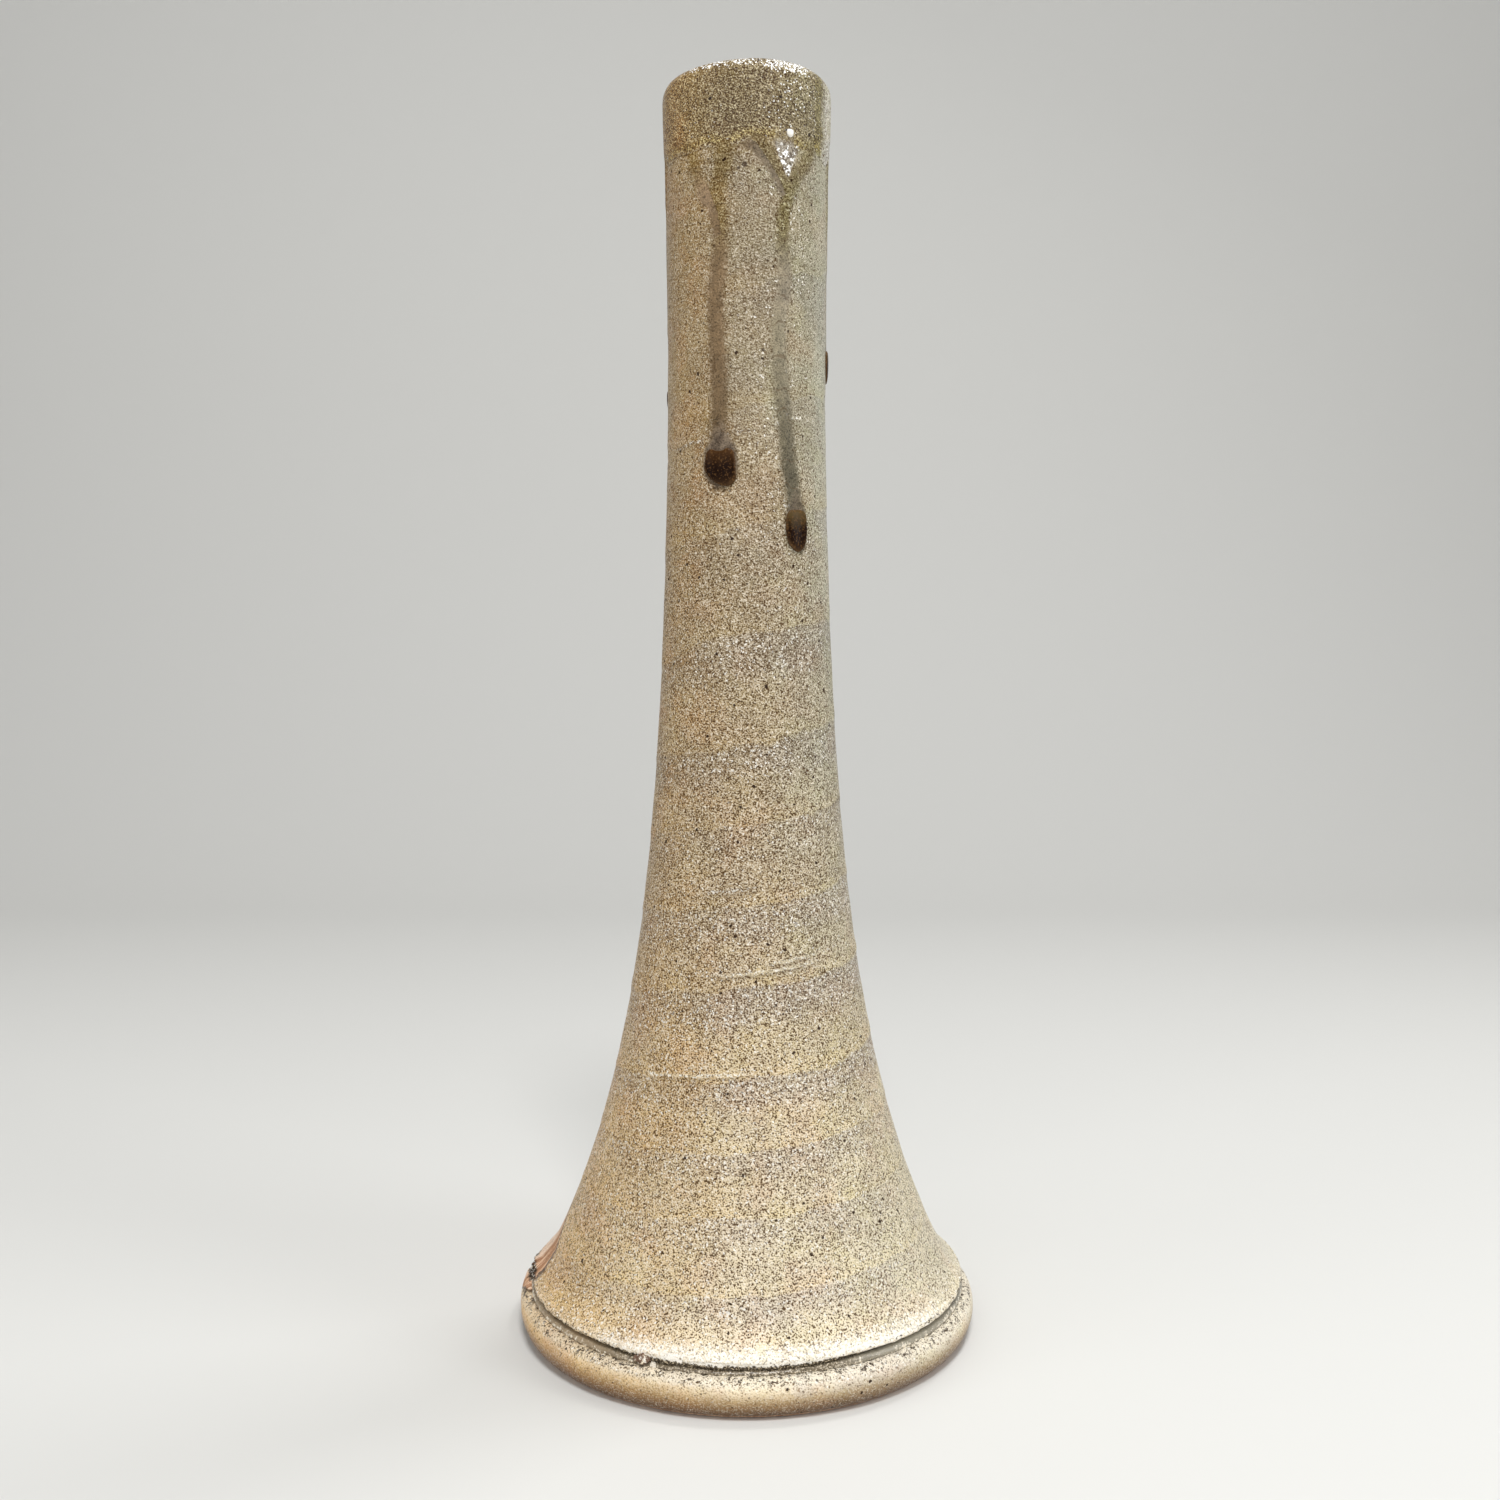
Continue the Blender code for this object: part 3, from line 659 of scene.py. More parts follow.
# %% [markdown]
# ## The runs
# A run is a narrow stream of glaze, fed by one or two arms that leave the collar, join, and end under a
# drop. Where streams join there is no seam, so each run is one skin: a fine grid laid on the wall, raised
# by the distance from the nearest stream's middle. The rest of the grid is cut away, and its edge is sunk
# just under the glaze around it.
# Each stream is a list of places (angle, height in mm). Its other values are spaced evenly along it: its
# width, its thickness, and how olive it is, for olive glaze is thick and fresh from the collar, and it
# turns grey further down. A faint stream is so thin that the glaze under it shows through.
# A drop has a place and a size, the notch in its top, how far it leans to the right at its foot, and the
# size of the skirt of glaze round it.

# %% Streams of each run
RUNS = {
    "front_left": [
        {"path": [(-14.5, 284), (-16.6, 276), (-20.4, 270.4), (-18.6, 265), (-18.2, 259), (-21.6, 249),
                  (-22.2, 242.4), (-20.2, 233.7), (-19.2, 224.8), (-19.7, 218.4), (-19.5, 213),
                  (-18.6, 205)],
         "width": (5.0, 3.6, 4.4), "thick": (0.26, 0.22), "olive": (1.6, -3.0)},
        {"path": [(-40, 281.5), (-37, 276.5), (-31.5, 271.4), (-22.5, 267), (-18.5, 261.5)],
         "width": (3.4, 2.9, 3.8), "thick": (0.12, 0.20), "olive": (0.5, -0.9)},
    ],
    "front_right": [
        {"path": [(5, 284.5), (13.3, 280.8), (18.6, 277.4), (25.8, 274.2), (29.3, 270.9), (26.9, 266.7),
                  (25.6, 260.2), (27.2, 255.4), (27.6, 249.5), (23.4, 242.4), (23.8, 233.8),
                  (25.1, 227.2), (28.2, 218.6), (30.2, 212), (32.4, 205.3), (34.6, 200.4), (36.4, 191)],
         "width": (3.8, 3.0, 4.8), "thick": (0.24, 0.22), "olive": (1.4, -2.1)},
        {"path": [(52, 286), (48, 280.6), (38, 275.8), (30.5, 271.5)],
         "width": (5.6, 3.6, 3.2), "thick": (0.26, 0.28), "olive": (1.0, 0.9)},
        {"path": [(-9.5, 279.4), (1.5, 281.0), (11, 278.6), (20, 274.8), (26.5, 270.8)],
         "width": (1.6, 2.2, 2.6, 2.2), "thick": (0.03, 0.10), "olive": (-0.3, -0.3),
         "faint": (0.2, 0.9, 0.95, 0.95, 0.95)},
    ],
    "right_side": [
        {"path": [(80, 283), (84, 272), (88, 262), (91, 250), (93, 235)],
         "width": (4.4, 3.4, 3.6), "thick": (0.24, 0.24), "olive": (1.4, -2.0)},
    ],
    "left_side": [
        {"path": [(-80, 283), (-86, 272), (-90, 262), (-93, 245), (-96, 227)],
         "width": (4.2, 3.0, 3.2), "thick": (0.22, 0.22), "olive": (1.4, -2.0)},
    ],
}
Drop = namedtuple("Drop", "angle height wide tall thick notch lean skirt", defaults=(0.0, 0.0, 1.2))
DROPS = {
    "front_left": Drop(-18.5, 208.4, wide=7.5, tall=8.9, thick=1.05, notch=0.16, lean=0.46, skirt=1.34),
    "front_right": Drop(36.7, 194.0, wide=6.3, tall=9.8, thick=0.85, lean=0.05, skirt=1.14),
    "right_side": Drop(93, 234.7, wide=6.4, tall=7.8, thick=0.75),
    "left_side": Drop(-100, 227.2, wide=5.2, tall=4.6, thick=0.5),
}
print(len(RUNS), "runs with", sum(len(streams) for streams in RUNS.values()), "streams")

# %% [markdown]
# A smooth line through the places comes from a Catmull-Rom curve, which passes through each of them. For
# every grid point the nearest sample of the line is found, on the wall's surface unrolled flat, and the
# stream's width, thickness and colour there shape the skin. Round the drop the skin widens into a thin
# milky skirt, which rises to a point above it.

# %% Raising a skin over the streams
STREAM_SAMPLES = 240
GRID_STEP = 0.33 * MM
SKIN_SINK = 0.02 * MM
SKIN_REACH = 1.55
SKIRT_TOP = 1.9
SKIRT_THICK = 0.26 * MM
SKIRT_STRENGTH = 1.8


def smooth_path(places):
    """Catmull-Rom samples through a list of places, as an array with a row for each sample."""
    places = np.array(places, dtype=float)
    last = len(places) - 1
    t = np.linspace(0, last, STREAM_SAMPLES)
    index = np.minimum(t.astype(int), last - 1)
    local = (t - index)[:, None]
    before, here, after, beyond = (places[np.clip(index + shift, 0, last)] for shift in (-1, 0, 1, 2))
    return 0.5 * (2 * here + (after - before) * local
                  + (2 * before - 5 * here + 4 * after - beyond) * local ** 2
                  + (3 * here - before - 3 * after + beyond) * local ** 3)


def along_stream(amounts, share):
    """An amount at a share of the stream's length, from amounts that are spaced evenly along it."""
    return np.interp(share, np.linspace(0, 1, len(amounts)), amounts)


def stream_fields(stream, angle, height):
    """Distance from the stream's middle in half widths, its thickness, olive share and strength there."""
    line = smooth_path(stream["path"])
    share = np.linspace(0, 1, len(line))
    arc_length = np.radians(angle[:, None] - line[None, :, 0]) * wall_radius(height)[:, None]
    rise = height[:, None] - line[None, :, 1] * MM
    nearest = np.argmin(arc_length ** 2 + rise ** 2, axis=1)
    rows = np.arange(len(angle))
    distance = np.hypot(arc_length[rows, nearest], rise[rows, nearest])
    width = along_stream(stream["width"], share[nearest] ** 0.5) * MM
    thick = along_stream(stream["thick"], share[nearest]) * MM
    olive = np.clip(along_stream(stream["olive"], share[nearest]), -1, 1)
    strength = along_stream(stream.get("faint", (1.0, 1.0)), share[nearest])
    return distance / (width / 2), thick, olive, strength


def fullness_at(distance):
    """From 1 in the middle of a stream to 0 at the edge of its skin."""
    return np.clip(1 - (distance / SKIN_REACH) ** 2, 0, 1)


def dome(distance, thick):
    """Height of a soft dome, which falls to a level just under the wall at its edge."""
    return thick * fullness_at(distance) ** 1.5 - SKIN_SINK


def skirt_distance(drop, angle, height):
    """Distance from the drop's middle, in half sizes of its skirt, which rises to a point above it."""
    across = np.radians(angle - drop.angle) * wall_radius(height) / (drop.wide * MM / 2)
    up = (height - drop.height * MM) / (drop.tall * MM / 2)
    tent = np.interp(up, [1.0, 2.6], [1.05, 0.5])
    tall = np.where(up > 0, up / SKIRT_TOP, up * 1.08)
    return np.hypot(across / tent, tall) / drop.skirt * SKIN_REACH


def run_skin(streams, drop, angle, height):
    """How proud the skin stands, how full it is from 0 at its edge to 1, its olive share, the skirt."""
    fields = [stream_fields(stream, angle, height) for stream in streams]
    fields.append((skirt_distance(drop, angle, height), SKIRT_THICK, -1 + 0 * angle, SKIRT_STRENGTH))
    proud = np.full(len(angle), -SKIN_SINK)
    full = np.zeros(len(angle))
    olive = np.zeros(len(angle))
    for distance, thick, tone, strength in fields:
        share = np.clip(strength * (1 - (distance / SKIN_REACH) ** 2), 0, 1)
        olive = np.where(share > full, tone, olive)
        full = np.maximum(full, share)
        proud = np.maximum(proud, dome(distance, thick))
    return proud, full, olive, share


# %% [markdown]
# The grid starts as a flat primitive as wide and tall as the run, and is then wrapped on the wall. Faces
# that lie beyond the edge of every stream are selected and deleted, and Solidify gives the skin a back
# that lies inside the clay, so that it is a closed solid.

# %% Building the runs
RUNS_TOP = 285.5
SKIN_BACK = 0.5 * MM


def run_extent(streams, drop):
    """Lowest and highest angle and height that the run reaches, with a margin."""
    places = np.array([place for stream in streams for place in stream["path"]])
    low_angle, high_angle = places[:, 0].min() - 9, places[:, 0].max() + 9
    low = drop.height - drop.tall * 0.9
    return min(low_angle, drop.angle - 16), max(high_angle, drop.angle + 16), low, RUNS_TOP


def start_grid(name, columns, rows):
    """A flat grid with sides of 1, and its points."""
    grid = start_piece(name, bpy.ops.mesh.primitive_grid_add, x_subdivisions=columns,
                       y_subdivisions=rows, size=1)
    bpy.ops.mesh.select_all(action="DESELECT")
    bpy.ops.object.mode_set(mode="OBJECT")
    return grid, points_of(grid)


def make_run(name, streams, drop):
    low_angle, high_angle, low, high = run_extent(streams, drop)
    columns = round(math.radians(high_angle - low_angle) * NECK_RADIUS / GRID_STEP)
    rows = round((high - low) * MM / GRID_STEP)
    run, points = start_grid("glaze_run." + name, columns, rows)
    angle = low_angle + (high_angle - low_angle) * (points[:, 0] + 0.5)
    height = (low + (high - low) * (points[:, 1] + 0.5)) * MM
    proud, full, olive, skirt = run_skin(streams, drop, angle, height)
    move_points(run, on_wall(angle, height, proud))
    keep_values(run, full=full, olive=olive, skirt=skirt)
    trim_skin(run, full <= 0)
    return run


def trim_skin(run, unwanted):
    """Deletes the points that lie too deep, and gives the rest a back."""
    run.data.vertices.foreach_set("select", unwanted)
    bpy.ops.object.mode_set(mode="EDIT")
    bpy.ops.mesh.select_mode(type="VERT")
    bpy.ops.mesh.delete(type="VERT")
    bpy.ops.mesh.select_all(action="SELECT")
    bpy.ops.mesh.delete_loose()
    bpy.ops.object.mode_set(mode="OBJECT")
    solidify = run.modifiers.new("Back", "SOLIDIFY")
    solidify.thickness = SKIN_BACK
    solidify.offset = -1
    bpy.ops.object.modifier_apply(modifier="Back")


for name, streams in RUNS.items():
    run = make_run(name, streams, DROPS[name])
    finish_piece(run, "glaze_run_" + name, slot="grey_glaze")

# %% [markdown]
# ## The drops
# Each run carried iron down with it, and its end froze as a fat bead of nearly black glass: square in the
# shoulders, fullest in its upper half, and round underneath. A UV sphere stands in front of the wall,
# its shoulders are squared and its back is pressed against the curve of the neck.

# %% Building the drops
SHOULDERS = 4.0
WAIST = 0.19
EDGE_WAVER = 0.06


def shape_drop(ball, drop):
    """Moves the points of a unit ball, Y pointing out of the wall, on to the wall as a drop."""
    across, out, up = ball[:, 0], -ball[:, 1], ball[:, 2]
    reach = np.hypot(across, up)
    along, aside = (np.where(reach > 0, part / np.maximum(reach, 1e-6), 1) for part in (up, across))
    squared = (np.abs(aside) ** SHOULDERS + np.abs(along) ** SHOULDERS) ** (-1 / SHOULDERS)
    blend = np.clip(0.55 + 0.45 * along, 0, 1)
    spread = 1 + (squared - 1) * blend
    low_down = np.clip(-up, 0, 1) ** 1.5
    side = across * spread * (1 - WAIST * low_down) + drop.lean * low_down
    rise = up * spread
    rise = rise - drop.notch * np.exp(-((side + 0.05) / 0.42) ** 4) * np.clip(up, 0, 1) ** 2
    height = (drop.height + rise * drop.tall / 2) * MM
    angle = drop.angle + np.degrees(side * drop.wide * MM / 2 / wall_radius(height))
    edge = EDGE_WAVER * lumps(ball, 0.35, drop.height)
    angle = angle + np.degrees(edge * side * drop.wide * MM / 2 / wall_radius(height))
    fullness = np.sqrt(np.clip(out, 0, 1)) * (1 + 0.12 * up)
    proud = np.where(out > 0, drop.thick * MM * fullness, -0.4 * MM * np.abs(out))
    return angle, height, proud, fullness


def make_drop(name, drop):
    piece = start_piece("glaze_drop." + name, bpy.ops.mesh.primitive_uv_sphere_add, segments=64,
                        ring_count=48, radius=1)
    bpy.ops.transform.rotate(value=math.radians(90), orient_axis="X", center_override=(0, 0, 0))
    bpy.ops.object.mode_set(mode="OBJECT")
    angle, height, proud, fullness = shape_drop(points_of(piece), drop)
    move_points(piece, on_wall(angle, height, proud))
    keep_values(piece, full=fullness, up=(height / MM - drop.height) / drop.tall + 0.5)
    bpy.ops.object.mode_set(mode="EDIT")
    bpy.ops.mesh.select_all(action="SELECT")
    bpy.ops.mesh.normals_make_consistent(inside=False)
    bpy.ops.object.mode_set(mode="OBJECT")
    return piece


for name, drop in DROPS.items():
    piece = make_drop(name, drop)
    finish_piece(piece, "glaze_drop_" + name, slot="dark_glaze")

# %% [markdown]
# ## Blisters of clear glaze
# Between the two arms of the right run the glaze lies thick and clear, with a round blister at the edge of
# the collar. Both catch the window light, and both are painted pale as well: near-white glints on the patch
# and a near-white blister, painted highlights. The clear patch is a skin like the runs, a wedge that hangs
# between the arms and laps over the collar's edge, and the blister is a small flattened ball.

# %% Clear wedge and blister
WEDGE = {"path": [(28.6, 281.2), (28.2, 278.6), (28.6, 275.2)],
         "width": (5.6, 4.8, 1.8), "thick": (0.12, 0.2), "olive": (0, 0)}
WEDGE_ANGLE, WEDGE_TURN = 28.5, 36
WEDGE_HEIGHT, WEDGE_TALL = 279, 15
OVER_COLLAR = 0.3 * MM
BLISTER = Drop(30.5, 284.1, wide=1.8, tall=1.8, thick=0.75)


def make_wedge():
    wedge, points = start_grid("clear_wedge", 48, 44)
    angle = WEDGE_ANGLE + WEDGE_TURN * points[:, 0]
    height = (WEDGE_HEIGHT + WEDGE_TALL * points[:, 1]) * MM
    distance, thick = stream_fields(WEDGE, angle, height)[:2]
    full = fullness_at(distance)
    lap = OVER_COLLAR * np.clip((height - COLLAR_EDGE - 1 * MM) / (3 * MM), 0, 1)
    move_points(wedge, on_wall(angle, height, dome(distance, thick) + lap))
    keep_values(wedge, full=full)
    trim_skin(wedge, full <= 0)
    return wedge


wedge = make_wedge()
blister = make_drop("blister", BLISTER)
blister.name = "glaze_blister"
finish_piece(wedge, slot="grey_glaze")
finish_piece(blister, slot="grey_glaze")

# %% [markdown]
# # The finishes
# All the glazes are built from the same few effects, so each effect is a node group with its own inputs and
# outputs. These short helpers add a node and wire it in one line, to the tree in hand, which is the group
# or the material that was started last. What a node gives can be added and multiplied like a number, and
# each such sum is a Math node.

# %% Nodes and wires
TREE = None
SOCKET_KINDS = {"Place": "Vector", "Color": "Color"}


def math_node(operation, swap=False):
    """A method of Wire that adds a Math node. A swapped one has the plain number first."""
    if swap:
        return lambda wired, number: calc(operation, number, wired)
    return lambda wired, other: calc(operation, wired, other)


class Wire:
    """What comes out of a socket. Arithmetic on it adds Math nodes to the tree in hand."""
    __add__ = math_node("ADD")
    __sub__ = math_node("SUBTRACT")
    __rsub__ = math_node("SUBTRACT", swap=True)
    __mul__ = math_node("MULTIPLY")
    __truediv__ = math_node("DIVIDE")

    def __init__(self, socket):
        self.socket = socket

    def __abs__(self):
        return calc("ABSOLUTE", self)


class Made:
    """A node in the tree in hand, whose outputs are taken by name or number."""

    def __init__(self, node):
        self.node = node

    def __getitem__(self, name):
        return Wire(self.node.outputs[name])


def wire(value, socket):
    """Links a wire to the socket, or fills it with a plain value."""
    if isinstance(value, Wire):
        TREE.links.new(value.socket, socket)
    else:
        socket.default_value = value


def add(kind, inputs=None, **settings):
    """Adds a shader node, sets it up and wires or fills its inputs."""
    node = TREE.nodes.new("ShaderNode" + kind)
    for name, value in settings.items():
        setattr(node, name, value)
    for name, value in (inputs or {}).items():
        wire(value, node.inputs[name])
    return Made(node)


def calc(operation, *values, clamp=False):
    return add("Math", dict(enumerate(values)), operation=operation, use_clamp=clamp)[0]


# %% [markdown]
# A pattern is nearly always a noise or a place on the pot, cut to a soft edge by a step, and used as the
# share of one colour in another.

# %% Steps, mixes and noises
def step(value, low, high, to_low=0.0, to_high=1.0):
    """Goes smoothly from to_low to to_high as value goes from low to high. Low may be the larger."""
    limits = {"Value": value, "From Min": low, "From Max": high, "To Min": to_low, "To Max": to_high}
    return add("MapRange", limits, interpolation_type="SMOOTHSTEP")["Result"]


def between(value, start, full, fade, end):
    """Rises smoothly from 0 at start to 1 at full, and falls back to 0 from fade to end."""
    return step(value, start, full) * step(value, end, fade)


def mix(share, first, second, way="MIX"):
    return add("Mix", {0: share, 6: first, 7: second}, data_type="RGBA", blend_type=way)[2]


def tint(share, tone, by):
    """The tone times another colour, as far as the share goes."""
    return mix(share, tone, by, "MULTIPLY")


def speckle(place, size, detail=2.0, roughness=0.6):
    """Noise with features of about this size in millimetres."""
    noise = {"Vector": place, "Scale": 1 / (size * MM), "Detail": detail, "Roughness": roughness}
    return add("TexNoise", noise)["Fac"]


def streaks(scale, detail, across, along=0.0):
    """Noise that lies in streaks, because it changes much faster across than along."""
    place = add("CombineXYZ", {"X": across, "Y": along})[0]
    return add("TexNoise", {"Vector": place, "Scale": scale, "Detail": detail})["Fac"]


def facets(place, size):
    """Random values for each crystal of about this size, as Red, Green and Blue."""
    crystals = add("TexVoronoi", {"Vector": place, "Scale": 1 / (size * MM)})["Color"]
    return add("SeparateColor", {"Color": crystals})


# %% [markdown]
# Some things change with height along a whole list of points, which a colour ramp holds.

# %% Ramps and colours
def by_points(value, points, span):
    """A colour that follows a list of (place, colour) points, both ends included, from 0 up to span."""
    ramp = add("ValToRGB", {"Fac": value / span})
    stops = ramp.node.color_ramp.elements
    for index, (place, tone) in enumerate(points):
        stop = stops[index] if index < 2 else stops.new(place / span)
        stop.position = place / span
        stop.color = tone
    return ramp["Color"]


def profile(value, points, span):
    """A value that follows a list of (place, amount) points, both from 0 up to span and to 1."""
    return by_points(value, [(place, (amount, amount, amount, 1)) for place, amount in points], span)


def color(red, green, blue):
    """A colour given as it looks on a screen, from 0 to 255, made linear for the shader."""
    def linear(part):
        share = part / 255
        return share / 12.92 if share <= 0.04045 else ((share + 0.055) / 1.055) ** 2.4
    return (linear(red), linear(green), linear(blue), 1.0)


# %% Groups
def start_group(name, inputs, outputs):
    """A new node group with sockets of these names: the group, what comes in and what goes out."""
    global TREE
    TREE = bpy.data.node_groups.new(name, "ShaderNodeTree")
    for way, sockets in (("INPUT", inputs), ("OUTPUT", outputs)):
        for socket in sockets.split():
            kind = "NodeSocket" + SOCKET_KINDS.get(socket, "Float")
            TREE.interface.new_socket(name=socket, in_out=way, socket_type=kind)
    source = Made(TREE.nodes.new("NodeGroupInput"))
    return TREE, source, TREE.nodes.new("NodeGroupOutput").inputs


def use_group(group, **inputs):
    node = TREE.nodes.new("ShaderNodeGroup")
    node.node_tree = group
    for name, value in inputs.items():
        wire(value, node.inputs[name])
    return Made(node)


# %% [markdown]
# ## Where on the pot
# Most effects depend on the height and on the way that a place faces. This group turns a place into its
# angle from the front, its height and its distance from the axis in millimetres, and its side, from -1 at
# the left to 1 at the right.

# %% Group: place on the pot
place_group, source, result = start_group("place_on_pot", "Place", "Angle Height Side Radius")
parts = add("SeparateXYZ", {"Vector": source["Place"]})
squares = parts["X"] * parts["X"] + parts["Y"] * parts["Y"]
wire(calc("SQRT", squares) * 1000.0, result["Radius"])
turn = calc("ARCTAN2", parts["X"], parts["Y"] * -1.0)
wire(calc("DEGREES", turn), result["Angle"])
wire(parts["Z"] * 1000.0, result["Height"])
wire(calc("SINE", turn), result["Side"])

# %% [markdown]
# ## Grain
# Ash glaze over gritty clay never melts to one colour. It is full of pale crystals and dark pits about
# half a millimetre across, and those cluster a little. Three noises of different sizes are added up, and
# what lies over their middle counts as crystals, what lies under it as pits. Iron in the clay burns
# through as dark specks: a Voronoi texture gives one where the middle of a cell lies at the surface, and a
# little noise on the place keeps them from being round. A finer Voronoi texture has one random value for
# each crystal, so that some of them can be painted near white as glints and some can be dark grit.

# %% Group: grain
grain_sockets = "Light Dark Specks Relief Glitter Grit"
grain_group, source, result = start_group("glaze_grain", "Place Contrast", grain_sockets)
place = source["Place"]
swing = 0.0
for size, share in ((0.36, 8.4), (0.9, 2.0), (2.4, 0.7)):
    part = speckle(place, size, detail=0.6) - 0.5
    swing = part * share + swing
swing = swing * source["Contrast"]
wire(calc("MULTIPLY", swing, 0.43, clamp=True), result["Light"])
pits = calc("SUBTRACT", swing * -1.06, 0.25, clamp=True)
wire(pits * 0.95, result["Dark"])
wire(calc("ADD", swing * 0.25, 0.5, clamp=True), result["Relief"])
jitter = add("TexNoise", {"Vector": place, "Scale": 1 / (1.1 * MM), "Detail": 2.0})["Color"]
jitter = add("VectorMath", {0: jitter, 1: (0.5, 0.5, 0.5)}, operation="SUBTRACT")[0]
jitter = add("VectorMath", {0: jitter, "Scale": 0.9 * MM}, operation="SCALE")[0]
ragged_place = add("VectorMath", {0: place, 1: jitter}, operation="ADD")[0]
big, small = (add("TexVoronoi", {"Vector": ragged_place, "Scale": 1 / (apart * MM)})["Distance"]
              for apart in (4.4, 2.4))
specks = calc("MAXIMUM", step(big, 0.095, 0.08), step(small, 0.1, 0.08, to_high=0.75))
wire(specks, result["Specks"])
crystal = facets(place, 0.38)
wire(crystal["Red"], result["Glitter"])
wire(crystal["Green"], result["Grit"])

# %% [markdown]
# ## The throwing spiral in the glaze
# Each finger mark holds the glaze differently: in the hollow it is thin, and a grey, salty band shows
# through. The upper edge of a band is sharp and the lower one fades. The list of heights that shaped the
# wall gives the count of turns, and taking the angle off it makes the bands climb to the right.

# %% Group: spiral bands
HEIGHT_SPAN = 320.0
BAND_STRENGTH = [(0, 0.3), (20, 0.6), (36, 0.7), (52, 0.8), (66, 1.0), (84, 1.0), (103, 0.95),
                 (114, 0.45), (124, 0.4), (134, 0.9), (143, 0.9), (150, 0.5), (166, 1.0), (176, 0.45),
                 (215, 0.3), (275, 0.2), (300, 0.0)]
band_group, source, result = start_group("spiral_bands", "Place", "Band Above")
where = use_group(place_group, Place=source["Place"])
height = where["Height"]
aside = where["Side"]
turn_points = [(top, count / len(BAND_TOPS)) for count, top in enumerate(BAND_TOPS) if top >= 0]
turns = profile(height, turn_points, HEIGHT_SPAN) * float(len(BAND_TOPS))
turns = turns - where["Angle"] / 360.0
wobble = speckle(source["Place"], 14, detail=3) - 0.5
phase = calc("FRACT", turns + wobble * 0.3)
fading = step(phase, 0.42, 0.78)
edge = step(phase, 1.0, 0.965)
strength = profile(height, BAND_STRENGTH, HEIGHT_SPAN)
patchy = step(speckle(source["Place"], 22, detail=2), 0.3, 0.52, to_low=0.45)
to_the_right = step(aside, -0.9, 0.0, to_low=0.45)
low_right = step(aside, 0.6, 0.95) * step(height, 66.0, 50.0)
to_the_right = to_the_right * (1.0 - low_right)
wire(fading * edge * (strength * patchy * to_the_right), result["Band"])
wire(step(phase, 0.22, 0.0), result["Above"])

# %% [markdown]
# ## Bare clay
# Where no glaze reached, the body fired to a toasted orange-buff, dry and gritty. Round the back, rings
# from the turning tool cross it. At the edge that is seen from the front a thumb wiped it from top to
# bottom, and left fine streaks there. Along that edge, where the clay is seen side on, it is painted paler,
# a painted highlight.

# %% Group: bare clay
clay_group, source, result = start_group("bare_clay", "Place", "Color Relief")
place = source["Place"]
grit = speckle(place, 0.5, detail=3, roughness=0.7)
cloud = speckle(place, 5, detail=3)
where = use_group(place_group, Place=place)
around = where["Angle"]
wiped = streaks(0.3, 4.0, around)
ring = where["Height"] + around * (-TURN_RISE / 360)
turned = streaks(0.42, 5.0, ring, around * 0.02) * 0.78 + cloud * 0.22
beyond = step(around, -98.0, -112.0)
drag = turned * beyond + wiped * (1.0 - beyond)
tone = mix(step(cloud, 0.35, 0.65), color(212, 164, 126), color(236, 202, 172))
strong = step(beyond, 0.0, 1.0, to_low=0.75, to_high=0.4)
tone = mix(step(drag, 0.53, 0.42) * strong, tone, color(172, 122, 86))
tone = mix(step(drag, 0.54, 0.66) * strong, tone, color(250, 228, 206))
# Painted highlight: a pale band where the clay turns to the silhouette.
edge_painted_highlight = step(around, -86.5, -89.0) * step(around, -104.0, -96.0)
tone = mix(edge_painted_highlight * 0.7, tone, color(250, 230, 210))
tone = mix(step(around, -86.0, -82.5, to_high=0.5), tone, color(184, 134, 96))
fine = streaks(1.3, 3.0, around, where["Height"] * 0.08)
edge_only = step(around, -98.0, -92.0)
tone = tint(step(fine, 0.5, 0.4) * edge_only, tone, (0.66, 0.58, 0.52, 1))
tone = mix(step(fine, 0.53, 0.62) * edge_only, tone, color(240, 208, 178))
tone = mix(step(grit, 0.42, 0.3), tone, color(120, 78, 50))
tone = mix(step(grit, 0.6, 0.72), tone, color(240, 212, 184))
wire(tone, result["Color"])
wire(grit, result["Relief"])

# %% [markdown]
# ## The ash glaze of the body
# This group puts the effects together. The glaze is browner up the neck, where it is thicker and saw more
# flame, and paler down the bell, where the lower bell is also painted lighter, a painted highlight, and the
# bead is painted darker towards the bottom, a painted shade. It is painted warmer and darker on the left and
# cooler and lighter on the right, partly its own tone and partly painted light from the window. Bands,
# clouds, grain and specks lie over that. At the lip of the bell and on the bead's shoulder it crawled into a
# white crust with dark pits, painted brighter there as a painted highlight, and the lip's front gets a
# painted highlight and painted glints. Pale hairlines follow the crisp ridges as painted highlights, dark
# ones the creases, each with a painted shadow under it, and three big specks sit high on the neck. The
# groove is painted dark, a painted shade, and the torn crevice near black with pale specks, a painted shade
# too. A tongue of bare clay shows at the back left, where the potter's hand held the pot as it was dipped.
# The outputs feed the colour, roughness and relief of every glazed piece, so pieces that meet share one
# pattern.

